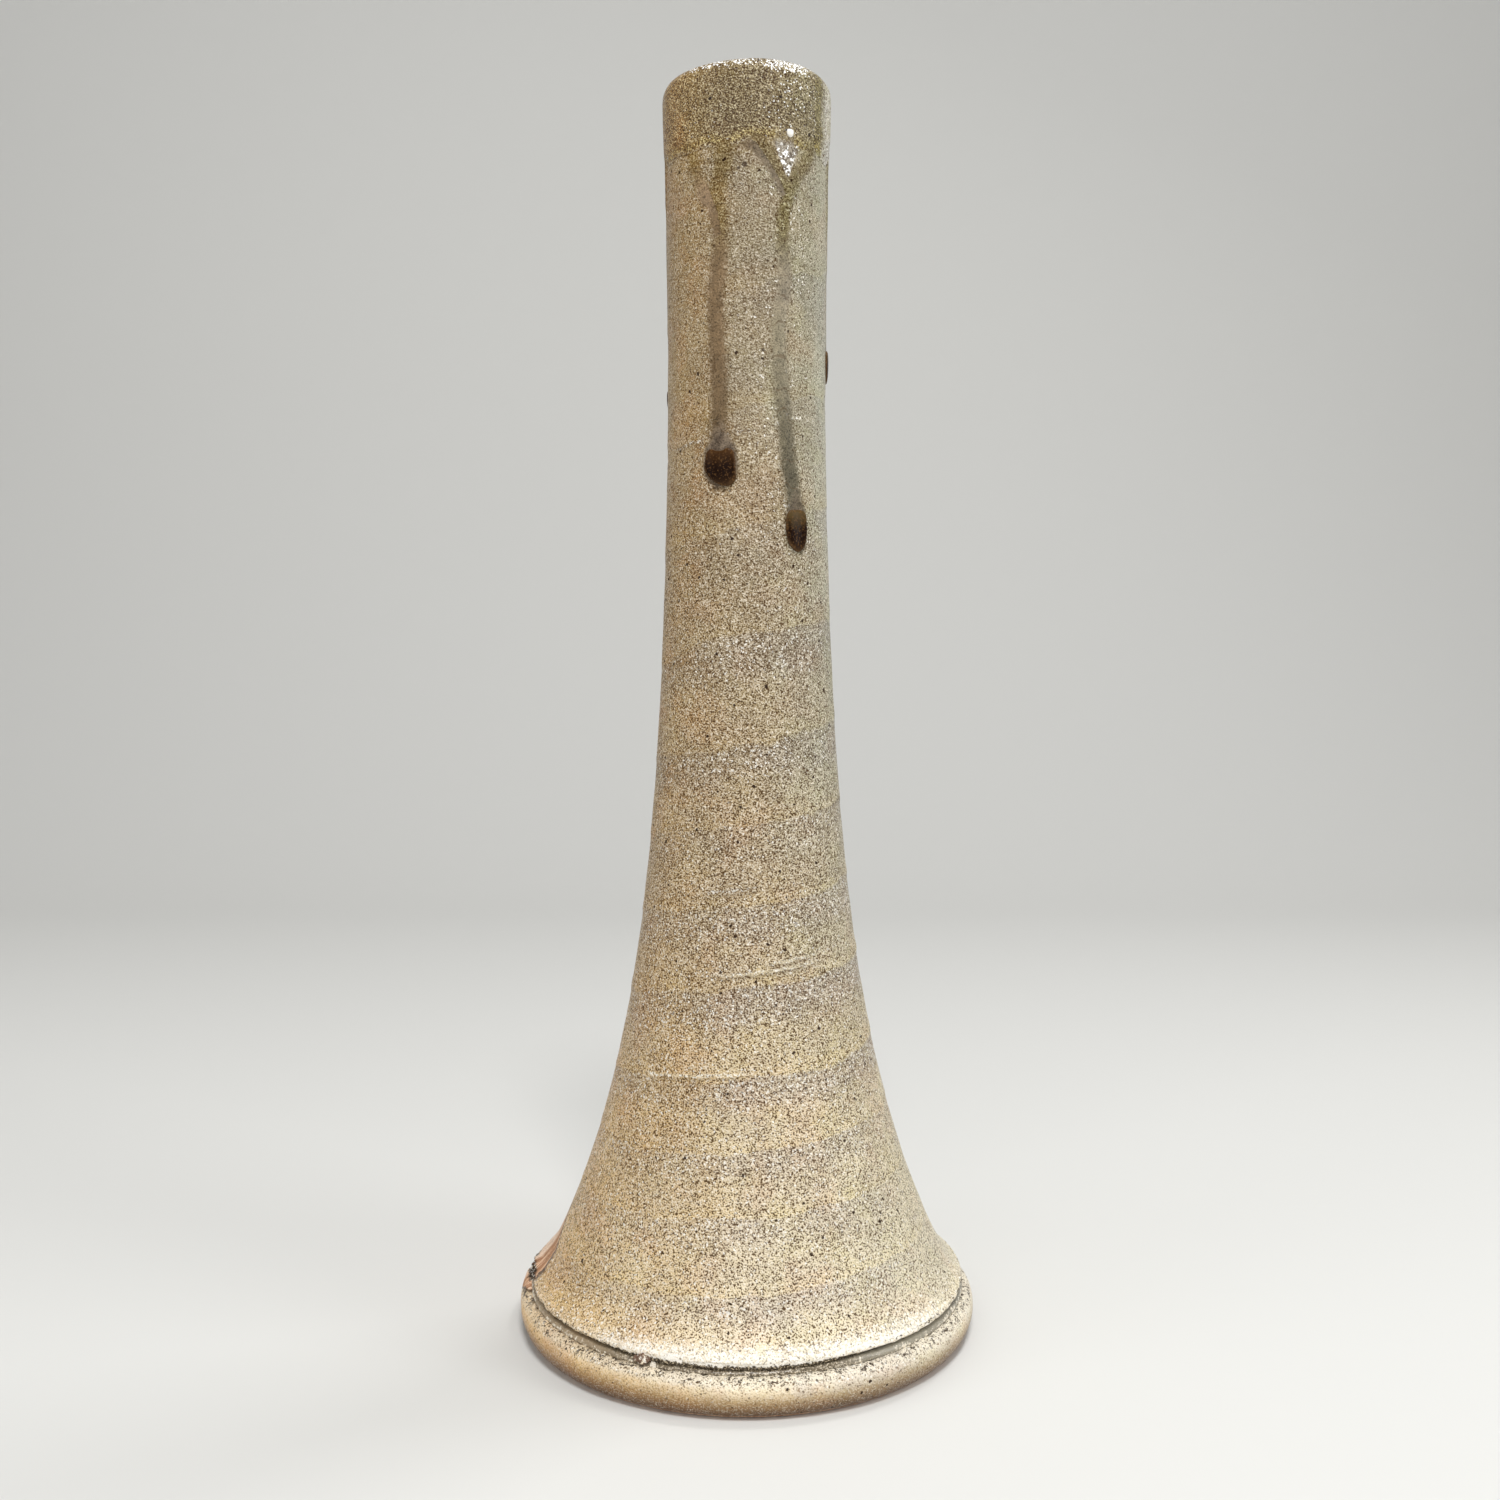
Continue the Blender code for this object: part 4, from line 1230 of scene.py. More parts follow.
# %% Group: body glaze
# Colours by height. Below 7 mm the bead is painted darker towards the bottom, a painted shade; its top at 7
# mm and the lower bell up to about 60 mm are painted lighter, partly a painted highlight.
BODY_TONES_AND_PAINTED_LIGHT = [(0, (66, 42, 26)), (1.5, (88, 60, 38)), (3.3, (142, 111, 78)), (5.2, (192, 167, 131)),
              (7, (241, 226, 204)), (12, (230, 215, 186)), (16, (226, 211, 183)),
              (25, (230, 214, 184)), (40, (222, 205, 174)), (60, (216, 197, 163)),
              (75, (207, 187, 152)), (88, (194, 174, 141)), (110, (181, 160, 127)),
              (150, (168, 149, 117)), (200, (155, 138, 109)), (250, (148, 132, 104)),
              (285, (144, 126, 95))]
CONTRAST_BY_HEIGHT = [(0, 0.50), (6, 0.50), (9, 0.72), (16, 0.88), (60, 0.90), (110, 0.92),
                      (180, 0.76), (225, 0.54), (320, 0.56)]
# Pale lines along the crisp ridges are painted highlights; the crease lines are darker.
RIDGE_HIGHLIGHT_TONE = (246, 234, 204)
CREASE_TONE = (104, 82, 54)
HAIRLINES = [(92.4, 12, 27, RIDGE_HIGHLIGHT_TONE, 0.28), (94.6, 24, 13, RIDGE_HIGHLIGHT_TONE, 0.26),
             (68.4, -24, 24, RIDGE_HIGHLIGHT_TONE, 0.22), (RING_HEIGHT - 2.0, -46, 15, CREASE_TONE, 0.5),
             (RING_HEIGHT + 0.2, -6, 10, CREASE_TONE, 0.6), (110.6, -8, 14, CREASE_TONE, 0.45)]
# Side tints as (side, height, colour). The right of the neck is painted lighter and cooler, painted light
# from the window; the left edge of the bell is painted lighter, painted light where it turns from the lamps.
NECK_RIGHT_PAINTED_LIGHT = ((0.7, 1.0), (150.0, 205.0), (1.33, 1.36, 1.5, 1))
NECK_LEFT = ((-0.5, -0.85), (170.0, 215.0), (1.08, 1.08, 1.1, 1))
LEFT_EDGE_PAINTED_LIGHT = ((-0.78, -0.96), (80.0, 40.0), (1.06, 1.02, 0.92, 1))
RARE_SPECKS = [(-1.5, 276.8, 0.7), (11.7, 235.1, 0.45), (-5.5, 276.0, 0.35)]
BARE_ANGLE = -128.0
HAND_MARK = [(0, 0.42), (4, 0.48), (7, 0.60), (9, 0.70), (12, 0.80), (20, 0.76), (25, 0.66),
             (31, 0.58), (45, 0.545), (60, 0.51), (72, 0.42), (84, 0.0)]
HAND_SPAN = 64.0
glaze_sockets = "Color Roughness Relief Bare Swing"
glaze_group, source, result = start_group("ash_glaze", "Place Contrast", glaze_sockets)
place = source["Place"]
where = use_group(place_group, Place=place)
height = where["Height"]
aside = where["Side"]
angle = where["Angle"]
by_height = profile(height, CONTRAST_BY_HEIGHT, HEIGHT_SPAN)
grain = use_group(grain_group, Place=place, Contrast=source["Contrast"] * by_height)
bands = use_group(band_group, Place=place)
tones = [(place_up, color(*tone)) for place_up, tone in BODY_TONES_AND_PAINTED_LIGHT]
body = by_points(height, tones, HEIGHT_SPAN)

# %% [markdown]
# Tints make the glaze warmer or cooler by side and by height, and large soft noises cloud it. The side
# tints are partly painted light: the left of the bell is painted warmer and darker, the right of the neck
# lighter and cooler, as lit by the window, and the middle of the neck a little darker, a painted shade. The
# left of the neck is a little lighter, and the left edge of the bell is painted lighter, painted light
# where it turns from the lamps.

# %% Tints and clouds
clouds = speckle(place, 18, detail=3) - 0.5
side = aside + clouds * 1.6
up_the_neck = step(height, 60.0, 160.0)
# The warm tint on the left and the cool one on the right are partly painted light from the window: the right
# of the neck comes out lighter and cooler.
warm = mix(up_the_neck, (0.93, 0.78, 0.54, 1), (1.06, 0.92, 0.68, 1))
cool = mix(up_the_neck, (0.92, 0.98, 1.0, 1), (1.06, 1.33, 1.62, 1))
body = tint(step(side, 0.1, -1.1), body, warm)
body = tint(step(side, 0.0, 1.1), body, cool)
# Painted shade: the left of the bell is painted darker and warmer.
left_bell_painted_shade = step(aside, 0.0, -0.75) * step(height, 100.0, 50.0)
body = tint(left_bell_painted_shade, body, (0.93, 0.87, 0.77, 1))
blush = step(speckle(place, 7, detail=3), 0.5, 0.66) * step(side, 0.0, -0.7, to_high=0.8)
body = tint(blush * up_the_neck, body, (1.05, 0.92, 0.78, 1))
# Painted shade: the middle of the neck is painted a little darker.
neck_middle_painted_shade = step(abs(aside), 0.55, 0.2) * step(height, 214.0, 234.0)
body = tint(neck_middle_painted_shade, body, (0.89, 0.92, 0.98, 1))
for across, up, by in (NECK_RIGHT_PAINTED_LIGHT, NECK_LEFT, LEFT_EDGE_PAINTED_LIGHT):
    body = tint(step(aside, *across) * step(height, *up), body, by)
shade = step(speckle(place, 11, detail=3), 0.36, 0.64)
body = tint(1.0, body, mix(shade, (0.91, 0.9, 0.89, 1), (1.07, 1.07, 1.03, 1)))
yellow = step(speckle(place, 9, detail=3), 0.5, 0.68) * 0.6
body = tint(yellow, body, (1.04, 1.02, 0.86, 1))
rosy = step(speckle(place, 12, detail=2), 0.5, 0.36) * 0.7
body = tint(rosy, body, (1.06, 0.98, 0.97, 1))
body = tint(bands["Above"] * 0.45, body, (1.06, 1.01, 0.84, 1))
body = tint(bands["Band"], body, (0.8, 0.81, 0.92, 1))

# %% [markdown]
# The crust lies on the lip and the shoulder, painted white: partly a real crust and partly a painted
# highlight where those faces turn up to the lamps. Over it come the pits and crystals of the grain, a white
# haze on the front of the lip, a painted highlight, and painted glints: near-white crystals, more of them at
# the lip, in the bands and where the window light falls. Then the iron specks, and pocks in the shoulder.

# %% Crust, grain and sparkle
# Crust and painted highlight: a white band on the lip and the bead's shoulder, brighter on the right.
crust_and_painted_highlight = between(height, 6.4, 8.6, 12.0, 14.5)
shoulder = step(height, 7.2, 8.4) * step(height, 10.6, 9.8, to_high=0.35)
shoulder = shoulder * step(aside, -0.9, -0.2, to_low=0.3)
body = mix(crust_and_painted_highlight * 0.3 + shoulder, body, color(244, 235, 216))
pit_tone = mix(step(height, 9.4, 7.6), color(76, 48, 14), color(134, 104, 66))
body = mix(grain["Dark"], body, pit_tone)
body = mix(grain["Light"], body, color(249, 238, 219))
in_bands = bands["Band"] * 0.1
on_neck = step(height, 60.0, 180.0, to_high=0.05)
wet = between(height, 9.0, 11.5, 14.5, 22.0)
# Painted highlight: a white haze and extra glints on the front of the bell's lip.
lip = between(height, 10.0, 11.0, 13.0, 16.0)
lip = lip * step(abs(angle - 12.0), 62.0, 25.0, to_low=0.1)
# Painted glints: near-white crystals, more in the bands, at the lip and on the right where the window light
# falls.
painted_glints = grain["Glitter"] + in_bands - on_neck
painted_glint_side = step(abs(angle - 28.0), 34.0, 6.0) * step(height, 120.0, 200.0)
clusters = step(speckle(place, 6, detail=2), 0.45, 0.62)
body = mix(lip * 0.36, body, color(244, 238, 224))
painted_glints = painted_glints + lip * 0.48 - step(height, 8.0, 6.0, to_high=0.07) + painted_glint_side * clusters * 0.08
body = mix(step(painted_glints, 0.955, 0.985, to_high=0.75), body, color(255, 251, 242))
gritty = grain["Grit"] + in_bands
body = mix(step(gritty, 0.965, 0.99, to_high=0.6), body, color(76, 54, 30))
pocks = step(speckle(place, 1.2, detail=3, roughness=0.75), 0.44, 0.39)
pocks = pocks * between(height, 7.6, 8.6, 9.6, 10.5)
body = mix(pocks * 0.9, body, color(58, 42, 28))
body = mix(grain["Specks"] * 0.96, body, color(44, 24, 9))

# %% [markdown]
# A hairline follows the rise of the spiral for part of a turn, broken up by noise, with a painted shadow
# under it. On the crisp ridges its pale colour and its sparks are a painted highlight and painted glints.
# A rare speck is a place on the wall and a distance from it.

# %% Hairlines and rare specks
broken = speckle(place, 2.5, detail=4, roughness=0.7)
for at, middle, half_length, tone, strength in HAIRLINES:
    off = height - ((angle - middle) * (TURN_RISE / 360) + at)
    ends = step(abs(angle - middle), half_length * 1.2, half_length * 0.7)
    off = off + (broken - 0.5) * 1.2
    crest = step(abs(off), 0.5, 0.2) * ends
    # A painted shadow just under each line.
    under = step(off, -0.3, -0.7) * step(off, -1.5, -0.9) * ends
    body = mix(crest * strength, body, color(*tone))
    body = mix(under * 0.3, body, color(96, 76, 50))
    # Painted glints on the pale crests.
    sparks = crest * step(grain["Glitter"], 0.72, 0.76, to_high=1.0 - strength)
    body = mix(sparks, body, color(255, 251, 240))
for turned, up, size in RARE_SPECKS:
    middle = place_at(turned, up * MM, float(wall_radius(up * MM)))
    away = add("VectorMath", {0: place, 1: tuple(middle)}, operation="DISTANCE")["Value"]
    away = away + (broken - 0.5) * MM
    body = mix(step(away, size * 1.1 * MM, size * 0.7 * MM, to_high=0.8), body, color(54, 38, 26))

# %% [markdown]
# The groove is painted dark behind the pooled glaze, a painted shade in the recess. The hand mark is wide
# low down and narrows upwards, with a ragged edge and a dark outline where the glaze drew back from the
# clay, partly the glaze's edge and partly painted shade under that step. Where the lip is torn, the crevice
# is painted near black with pale specks, a painted shade in the opening.

# %% Groove, bare clay and outputs
at_the_wall = step(where["Radius"], 52.9, 52.0)
groove_top = height - step(angle, -78.0, -90.0, to_high=2.6)
in_groove = at_the_wall * (step(groove_top, 12.0, 11.7) * step(height, 8.6, 9.2))
# Painted shade inside the groove.
groove_painted_shade = mix(step(broken, 0.38, 0.66), color(70, 57, 40), color(170, 152, 124))
half_width = profile(height, HAND_MARK, HEIGHT_SPAN) * HAND_SPAN
away = abs(angle - BARE_ANGLE)
ragged = speckle(place, 4, detail=4) - 0.5
inside = half_width + ragged * 9.0 - away
below_mark = step(height, 84.0, 80.0)
bare = step(inside, -0.5, 0.6) * below_mark
bare = calc("MAXIMUM", bare, step(height, 1.3, 0.7))
# Dark outline round the bare clay: the glaze's edge, partly painted shade under that step.
outline = between(inside, -2.6, -0.4, 0.2, 1.2) * below_mark
clay = use_group(clay_group, Place=place)
body = mix(outline * 0.9, body, color(66, 44, 28))
body = mix(bare, body, clay["Color"])
in_groove = in_groove * step(aside, -0.7, -0.3, to_low=0.5, to_high=0.85)
body = mix(in_groove, body, groove_painted_shade)
lifted = height - step(angle, -70.0, -84.0, to_high=2.2)
wavering = abs(lifted - GROOVE_HEIGHT / MM) + (broken - 0.5) * 1.6
torn = step(wavering, 1.9, 1.4)
# Painted shade in the torn crevice, near black with pale specks.
crevice = torn * (step(angle, -70.0, -75.0) * step(angle, -101.0, -92.0))
crevice_painted_shade = mix(step(grain["Glitter"], 0.84, 0.87), color(30, 23, 17), color(238, 231, 220))
crevice_painted_shade = mix(step(grain["Grit"], 0.62, 0.66, to_high=0.6), crevice_painted_shade, color(112, 92, 68))
body = mix(crevice, body, crevice_painted_shade)
wire(body, result["Color"])

rough = grain["Dark"] * 0.4 + 0.3 - bands["Band"] * 0.08 - wet * 0.06 + grain["Specks"] * 0.5
wire(calc("MAXIMUM", rough, bare * 0.8), result["Roughness"])
bumps = grain["Relief"] * (1.0 - wet * 0.62) - grain["Specks"] * 0.15 - pocks * 0.6 - bare * 0.5
wire(bumps, result["Relief"])
wire(bare, result["Bare"])
wire(grain["Light"] - grain["Dark"], result["Swing"])

# %% [markdown]
# ## Materials
# Each material starts with a shader and a place to read the patterns at, and ends with a coat: a colour, a
# roughness, and a bump that turns the relief into slopes. The place is the object's own coordinate, so a
# pattern stays on the clay. The slopes are steep for such small grains, and each of them mirrors the lamps
# its own way: that is the sparkle of an ash glaze.

# %% Starting a material
GRAIN_DEPTH = 0.34 * MM
WARM_SHINE = (1.0, 0.93, 0.82, 1.0)
SHINE = 0.28


def start_material(name, **constants):
    """A material with these constants in its shader, and the place that its patterns are read at."""
    global TREE
    material = bpy.data.materials.new(name)
    material.use_nodes = True
    TREE = material.node_tree
    for socket, value in constants.items():
        TREE.nodes["Principled BSDF"].inputs[socket.replace("_", " ")].default_value = value
    return material, add("TexCoord")["Object"]


def coat(pieces, material, tone, roughness=None, relief=None, depth=GRAIN_DEPTH):
    """Ends the material that was started last, and gives it to the pieces."""
    shader = TREE.nodes["Principled BSDF"].inputs
    wire(tone, shader["Base Color"])
    if roughness is not None:
        wire(roughness, shader["Roughness"])
    if relief is not None:
        slopes = add("Bump", {"Height": relief, "Distance": depth, "Strength": 1.0})
        wire(slopes["Normal"], shader["Normal"])
    for piece in pieces:
        piece.data.materials.clear()
        piece.data.materials.append(material)


def attribute(name):
    return add("Attribute", attribute_name=name)["Fac"]


# %% Body glaze on the wall and the foot
for name, contrast, piece in (("ash_glaze_on_wall", 1.0, wall), ("ash_glaze_on_foot", 0.85, foot)):
    material, place = start_material(name, IOR=1.52, Specular_IOR_Level=SHINE, Specular_Tint=WARM_SHINE)
    glaze = use_group(glaze_group, Place=place, Contrast=contrast)
    coat([piece], material, glaze["Color"], glaze["Roughness"], glaze["Relief"])

# %% [markdown]
# The roll on the lip is the same glaze. At the front its top is painted near white, a painted highlight,
# and its underside is painted dark with pale specks, a painted shadow under the lip, deepest at the right.

# %% Glaze on the lip
material, place = start_material("lip_roll_glaze", IOR=1.52, Specular_IOR_Level=SHINE)
where = use_group(place_group, Place=place)
glaze = use_group(glaze_group, Place=place, Contrast=1.0)
knobs = speckle(place, 0.8, detail=3, roughness=0.7)
low = attribute("under") + (knobs - 0.5) * 2.0
front = step(abs(where["Angle"] - 10.0), 58.0, 25.0)
# Painted highlight: the top of the roll at the front is painted near white.
tone = mix(front * 0.6, glaze["Color"], color(249, 244, 234))
# Painted shadow: the underside is painted dark, with pale specks.
grit = mix(step(speckle(place, 0.45, detail=2), 0.52, 0.62), color(62, 51, 36), color(196, 180, 152))
low = low - front * 0.12 - step(where["Side"], -0.35, -0.7, to_high=0.2)
low = low + step(where["Side"], 0.3, 0.7, to_high=0.4)
tone = mix(step(low, 0.0, 0.25), tone, grit)
tone = mix(glaze["Bare"], tone, glaze["Color"])
coat([roll], material, tone, glaze["Roughness"], glaze["Relief"])

# %% [markdown]
# The crumb is dark bare clay that caught some glaze, so it mixes the two by a coarse noise. The flake
# beside it is a chip of the white crust.

# %% Crumb and flake
material, place = start_material("crumb_clay", Roughness=0.55)
glaze = use_group(glaze_group, Place=place, Contrast=1.3)
patch = step(speckle(place, 1.3, detail=3), 0.5, 0.6)
dark_clay = mix(speckle(place, 0.6, detail=3), color(58, 40, 30), color(150, 116, 92))
tone = mix(patch, dark_clay, glaze["Color"])
coat([crumb], material, tone, relief=speckle(place, 0.5, detail=3), depth=0.3 * MM)

material, place = start_material("white_flake", Roughness=0.35)
tone = mix(speckle(place, 0.7, detail=3), color(214, 200, 178), color(246, 240, 228))
coat([flake], material, tone, relief=speckle(place, 0.6, detail=3), depth=0.2 * MM)

# %% [markdown]
# ## Collar, runs and drops
# The collar is the same glaze twice as thick: browner and more olive, with a golden line at its thin edge,
# where it gives way to the body glaze. Near the right edge of the view the olive of the double glaze gives
# way, and a pale, cool band shows there, behind a dark strip. Near-white crystals are painted along the rim
# and in a trickle below it on the right, painted glints. The arms of the runs come out of the collar, so
# both take their colour from one group.

# %% Group: olive glaze
olive_group, source, result = start_group("olive_glaze", "Color Golden", "Color")
thick = tint(1.0, source["Color"], (0.81, 0.765, 0.64, 1))
golden = tint(source["Golden"], thick, (0.88, 0.83, 0.62, 1))
wire(golden, result["Color"])

# %% Collar
material, place = start_material("double_ash_glaze", IOR=1.52, Specular_IOR_Level=SHINE)
where = use_group(place_group, Place=place)
height = where["Height"]
aside = where["Side"]
angle = where["Angle"]
glaze = use_group(glaze_group, Place=place, Contrast=1.5)
up = attribute("up_from_edge") + (speckle(place, 1.6, detail=3) - 0.5) * 0.35
golden = step(up, 0.1, 0.3) * step(up, 0.95, 0.35)
olive_tone = use_group(olive_group, Color=glaze["Color"], Golden=golden)
rim = step(height, 294.5, 298.5)
facet = facets(place, 0.33)["Blue"]
painted_glint_side = step(abs(angle - 30.0), 24.0, 5.0)
along_rim = step(abs(angle + 18.0), 36.0, 14.0, to_high=0.6)
# Painted glints: near-white crystals along the top of the rim and in a trickle below it on the right.
painted_top_glints = painted_glint_side * step(height, 297.2, 298.8)
painted_rim_glints = calc("MAXIMUM", painted_top_glints, along_rim * step(height, 298.3, 299.2))
painted_glint_trickle = painted_glint_side * step(height, 283.0, 297.0, to_low=0.02, to_high=0.04)
facet = facet + calc("MAXIMUM", painted_rim_glints * 0.5, painted_glint_trickle)
turned = angle + (speckle(place, 3) - 0.5) * 9.0
behind = step(turned, 98.0, 114.0)
double = step(up, 0.0, 0.5) * calc("MAXIMUM", step(turned, 66.0, 59.0), behind)
upper = step(up, 0.5, 1.0)
depth = mix(upper, (1.24, 1.26, 1.16, 1), (0.92, 0.92, 0.88, 1))
olive_tone = tint(1.0, olive_tone["Color"], depth)
on_left = step(aside, -0.35, -0.9)
left_tone = mix(upper, (0.92, 0.9, 0.9, 1), (1.24, 1.15, 0.97, 1))
olive_tone = tint(on_left, olive_tone, left_tone)
olive_tone = tint(step(aside, -0.15, 0.6), olive_tone, (0.94, 0.93, 0.94, 1))
tone = mix(double, glaze["Color"], olive_tone)
strip = step(abs(turned - 57.0), 6.0, 2.5, to_high=0.75)
tone = tint(strip, tone, (0.8, 0.79, 0.58, 1))
pale_side = step(turned, 62.0, 72.0) * (1.0 - behind)
tone = tint(pale_side, tone, (1.42, 1.46, 1.68, 1))
tone = mix(step(facet, 0.98, 1.02), tone, color(255, 254, 250))
rough = glaze["Roughness"] * step(height, 294.5, 298.5, to_low=0.75, to_high=0.45)
coat([collar], material, tone, rough, glaze["Relief"] * (1.0 - rim * 0.4))

# %% [markdown]
# A run is smooth grey glass in its middle and turns into the body glaze across its soft edge. Near the
# collar it is still grainy and olive, and the skirt round a drop is milky. Fine lines cross it where the
# glaze crawled a little as it cooled. They come from the height, bent by noise, as thin dark bands every
# seven millimetres or so.

# %% Runs
BROWN_GREY = color(123, 102, 76)
GREEN_GREY = color(144, 135, 113)
SKIRT_TONES = (color(88, 75, 62), color(120, 106, 90))
material, place = start_material("run_glaze", IOR=1.52, Specular_IOR_Level=0.08)
where = use_group(place_group, Place=place)
height = where["Height"]
aside = where["Side"]
glaze = use_group(glaze_group, Place=place, Contrast=1.1)
olive = attribute("olive")
edge_noise = speckle(place, 1.1, detail=3) - 0.5
full = attribute("full") + edge_noise * 0.9
on_right = step(aside, -0.2, 0.25)
grey = mix(on_right, BROWN_GREY, GREEN_GREY)
deeper = mix(on_right, (0.6, 0.6, 0.58, 1), (0.39, 0.39, 0.37, 1))
grey = tint(step(height, 246.0, 205.0), grey, deeper)
arch = step(aside, -0.3, -0.15) * step(height, 266.0, 270.0)
grey = tint(arch, grey, (0.78, 0.73, 0.71, 1))
grey = tint(on_right * step(height, 240.0, 248.0), grey, (0.93, 0.91, 0.95, 1))
pale_arm = step(aside, -0.35, -0.48) * step(height, 263.0, 267.0)
grey = tint(pale_arm, grey, (1.38, 1.42, 1.56, 1))
milky = mix(step(speckle(place, 2.0, detail=3), 0.36, 0.62), *SKIRT_TONES)
skirted = attribute("skirt") * step(on_right, 0.0, 1.0, to_low=1.0, to_high=0.6)
grey = mix(skirted, grey, milky)
mottle = step(speckle(place, 2.6, detail=3, roughness=0.65), 0.34, 0.66)
grey = tint(1.0, grey, mix(mottle, (0.86, 0.86, 0.87, 1), (1.1, 1.09, 1.08, 1)))
ghost = glaze["Swing"] * 0.55 + 1.0
ghost = add("CombineColor", {"Red": ghost, "Green": ghost, "Blue": ghost})[0]
grey = tint(1.0, grey, ghost)
olive_tone = use_group(olive_group, Color=glaze["Color"], Golden=0.65)["Color"]
stem = step(height, 277.0, 269.0) * step(height, 250.0, 256.0)
right_olive = mix(stem, (0.9, 0.93, 1.02, 1), (0.76, 0.79, 0.74, 1))
olive_tone = tint(on_right, olive_tone, right_olive)
glass = mix(step(olive, -0.3, 0.3), grey, olive_tone)
bend = speckle(place, 7, detail=2) * 11.0
waves = calc("SINE", height * 0.9 + bend)
crawl = step(waves, 0.965, 0.995) * step(full, 0.2, 0.5)
glass = mix(crawl * 0.5, glass, color(84, 64, 42))
tone = mix(step(full, 0.15, 1.0), glaze["Color"], glass)
smooth = step(full, 0.15, 0.75) * step(olive, 0.3, -0.3)
rough = glaze["Roughness"] - smooth * 0.06
flatter = 1.0 - smooth * 0.8
runs = [bpy.data.objects["glaze_run." + name] for name in RUNS]
coat(runs, material, tone, rough, glaze["Relief"] * flatter)

# %% Clear wedge and blister
material, place = start_material("clear_glaze", IOR=1.55)
glaze = use_group(glaze_group, Place=place, Contrast=1.0)
full = attribute("full") + (speckle(place, 1.2, detail=3) - 0.5) * 0.6
facet = facets(place, 0.5)["Red"]
clear = mix(step(facet, 0.1, 0.5), color(96, 84, 68), color(160, 150, 134))
height = use_group(place_group, Place=place)["Height"]
high_up = step(height, 279.0, 281.5, to_low=-0.22, to_high=0.2)
# Painted glints: near-white crystals on the clear patch.
clear = mix(step(facet - high_up, 0.74, 0.8), clear, color(255, 254, 250))
olive_tone = use_group(olive_group, Color=glaze["Color"], Golden=0.3)["Color"]
around_it = mix(step(height, 279.5, 281.0), glaze["Color"], olive_tone)
shown = step(full, 0.2, 0.6) * step(height, 283.6, 281.4)
tone = mix(shown, around_it, clear)
rough = step(full, 0.1, 0.6, to_low=0.32, to_high=0.16)
coat([wedge], material, tone, rough, glaze["Relief"] + speckle(place, 1.6))

# The blister is painted near white, a painted highlight.
material, place = start_material("blister_painted_highlight", Roughness=0.12, IOR=1.6)
coat([blister], material, mix(speckle(place, 0.8), color(226, 220, 208), color(250, 248, 242)))

# %% [markdown]
# The glaze in the groove is the same grey glass. At the front it is painted dark and gritty, a painted shade
# under the sagging roll, and further round it is paler; its inner side, under the lip, is painted dark as
# well, a painted shade. The drops are nearly black, with an amber rim where the glass is thin, and the upper
# part of the right one is still olive.

# %% Glaze in the groove
material, place = start_material("pooled_glaze", IOR=1.52)
where = use_group(place_group, Place=place)
angle = where["Angle"]
aside = where["Side"]
gritty = step(speckle(place, 0.9, detail=3, roughness=0.7), 0.5, 0.4)
front = step(abs(angle + 3.0), 38.0, 22.0)
cloud = speckle(place, 3, detail=3)
left_tone = mix(cloud, color(138, 120, 94), color(168, 147, 117))
right_tone = mix(cloud, color(136, 130, 114), color(166, 160, 144))
right_tone = tint(step(angle, 58.0, 70.0), right_tone, (0.8, 0.8, 0.8, 1))
tone = mix(step(aside, -0.4, 0.5), left_tone, right_tone)
# Painted shade at the front, under the sagging roll of the lip.
tone = mix(front * 0.92, tone, color(112, 99, 78))
tone = mix(gritty * (front * 0.6 + 0.05), tone, color(62, 50, 36))
grains = step(speckle(place, 0.5, detail=3, roughness=0.75), 0.52, 0.58, to_high=0.85)
tone = mix(step(front, 0.0, 1.0, to_low=0.12) * grains, tone, color(222, 209, 186))
# Painted shade on the inner side, under the lip.
inner_side = where["Radius"] + (speckle(place, 1.5, detail=4, roughness=0.8) - 0.5) * 4.2
inner_painted_shade = mix(step(aside, -0.3, 0.3), color(98, 82, 60), color(60, 50, 36))
tone = mix(step(inner_side, 52.3, 51.9, to_high=0.85), tone, inner_painted_shade)
tone = mix(step(inner_side - front * 0.3, 53.5, 53.7), tone, color(236, 226, 206))
rough = step(speckle(place, 1.2), 0.4, 0.7, to_low=0.22, to_high=0.4)
coat([pool], material, tone, rough, speckle(place, 1.2, detail=2), depth=0.08 * MM)

# %% Drops
material, place = start_material("iron_drop", Specular_IOR_Level=0.06, IOR=1.5)
full = attribute("full")
up = attribute("up")
where = use_group(place_group, Place=place)
mottle = speckle(place, 1.4, detail=3) - 0.5
thin = step(full + mottle * 0.4, 0.8, 0.3)
upper = step(up + mottle * 0.5, 0.45, 0.95)
olive_top = mix(step(where["Side"], 0.1, 0.5), color(64, 41, 20), color(80, 64, 38))
dark = mix(upper, color(27, 13, 6), olive_top)
dark = mix(step(up, 0.35, 0.0, to_high=0.7), dark, color(58, 40, 25))
tone = mix(thin * 0.85, dark, color(86, 63, 40))
glints = step(speckle(place, 0.5, detail=1), 0.54, 0.66)
tone = mix(glints * 0.42, tone, color(112, 80, 46))
rough = step(speckle(place, 1.5), 0.3, 0.7, to_low=0.16, to_high=0.3)
drops = [bpy.data.objects["glaze_drop." + name] for name in DROPS]
coat(drops, material, tone, rough, speckle(place, 1.0, detail=2), depth=0.12 * MM)

# %% [markdown]
# # The studio
# The floor runs up into the backdrop in one pale sweep, so there is no horizon behind the vase. It is a
# plane whose back edge is extruded upwards and whose corner is then bevelled round.

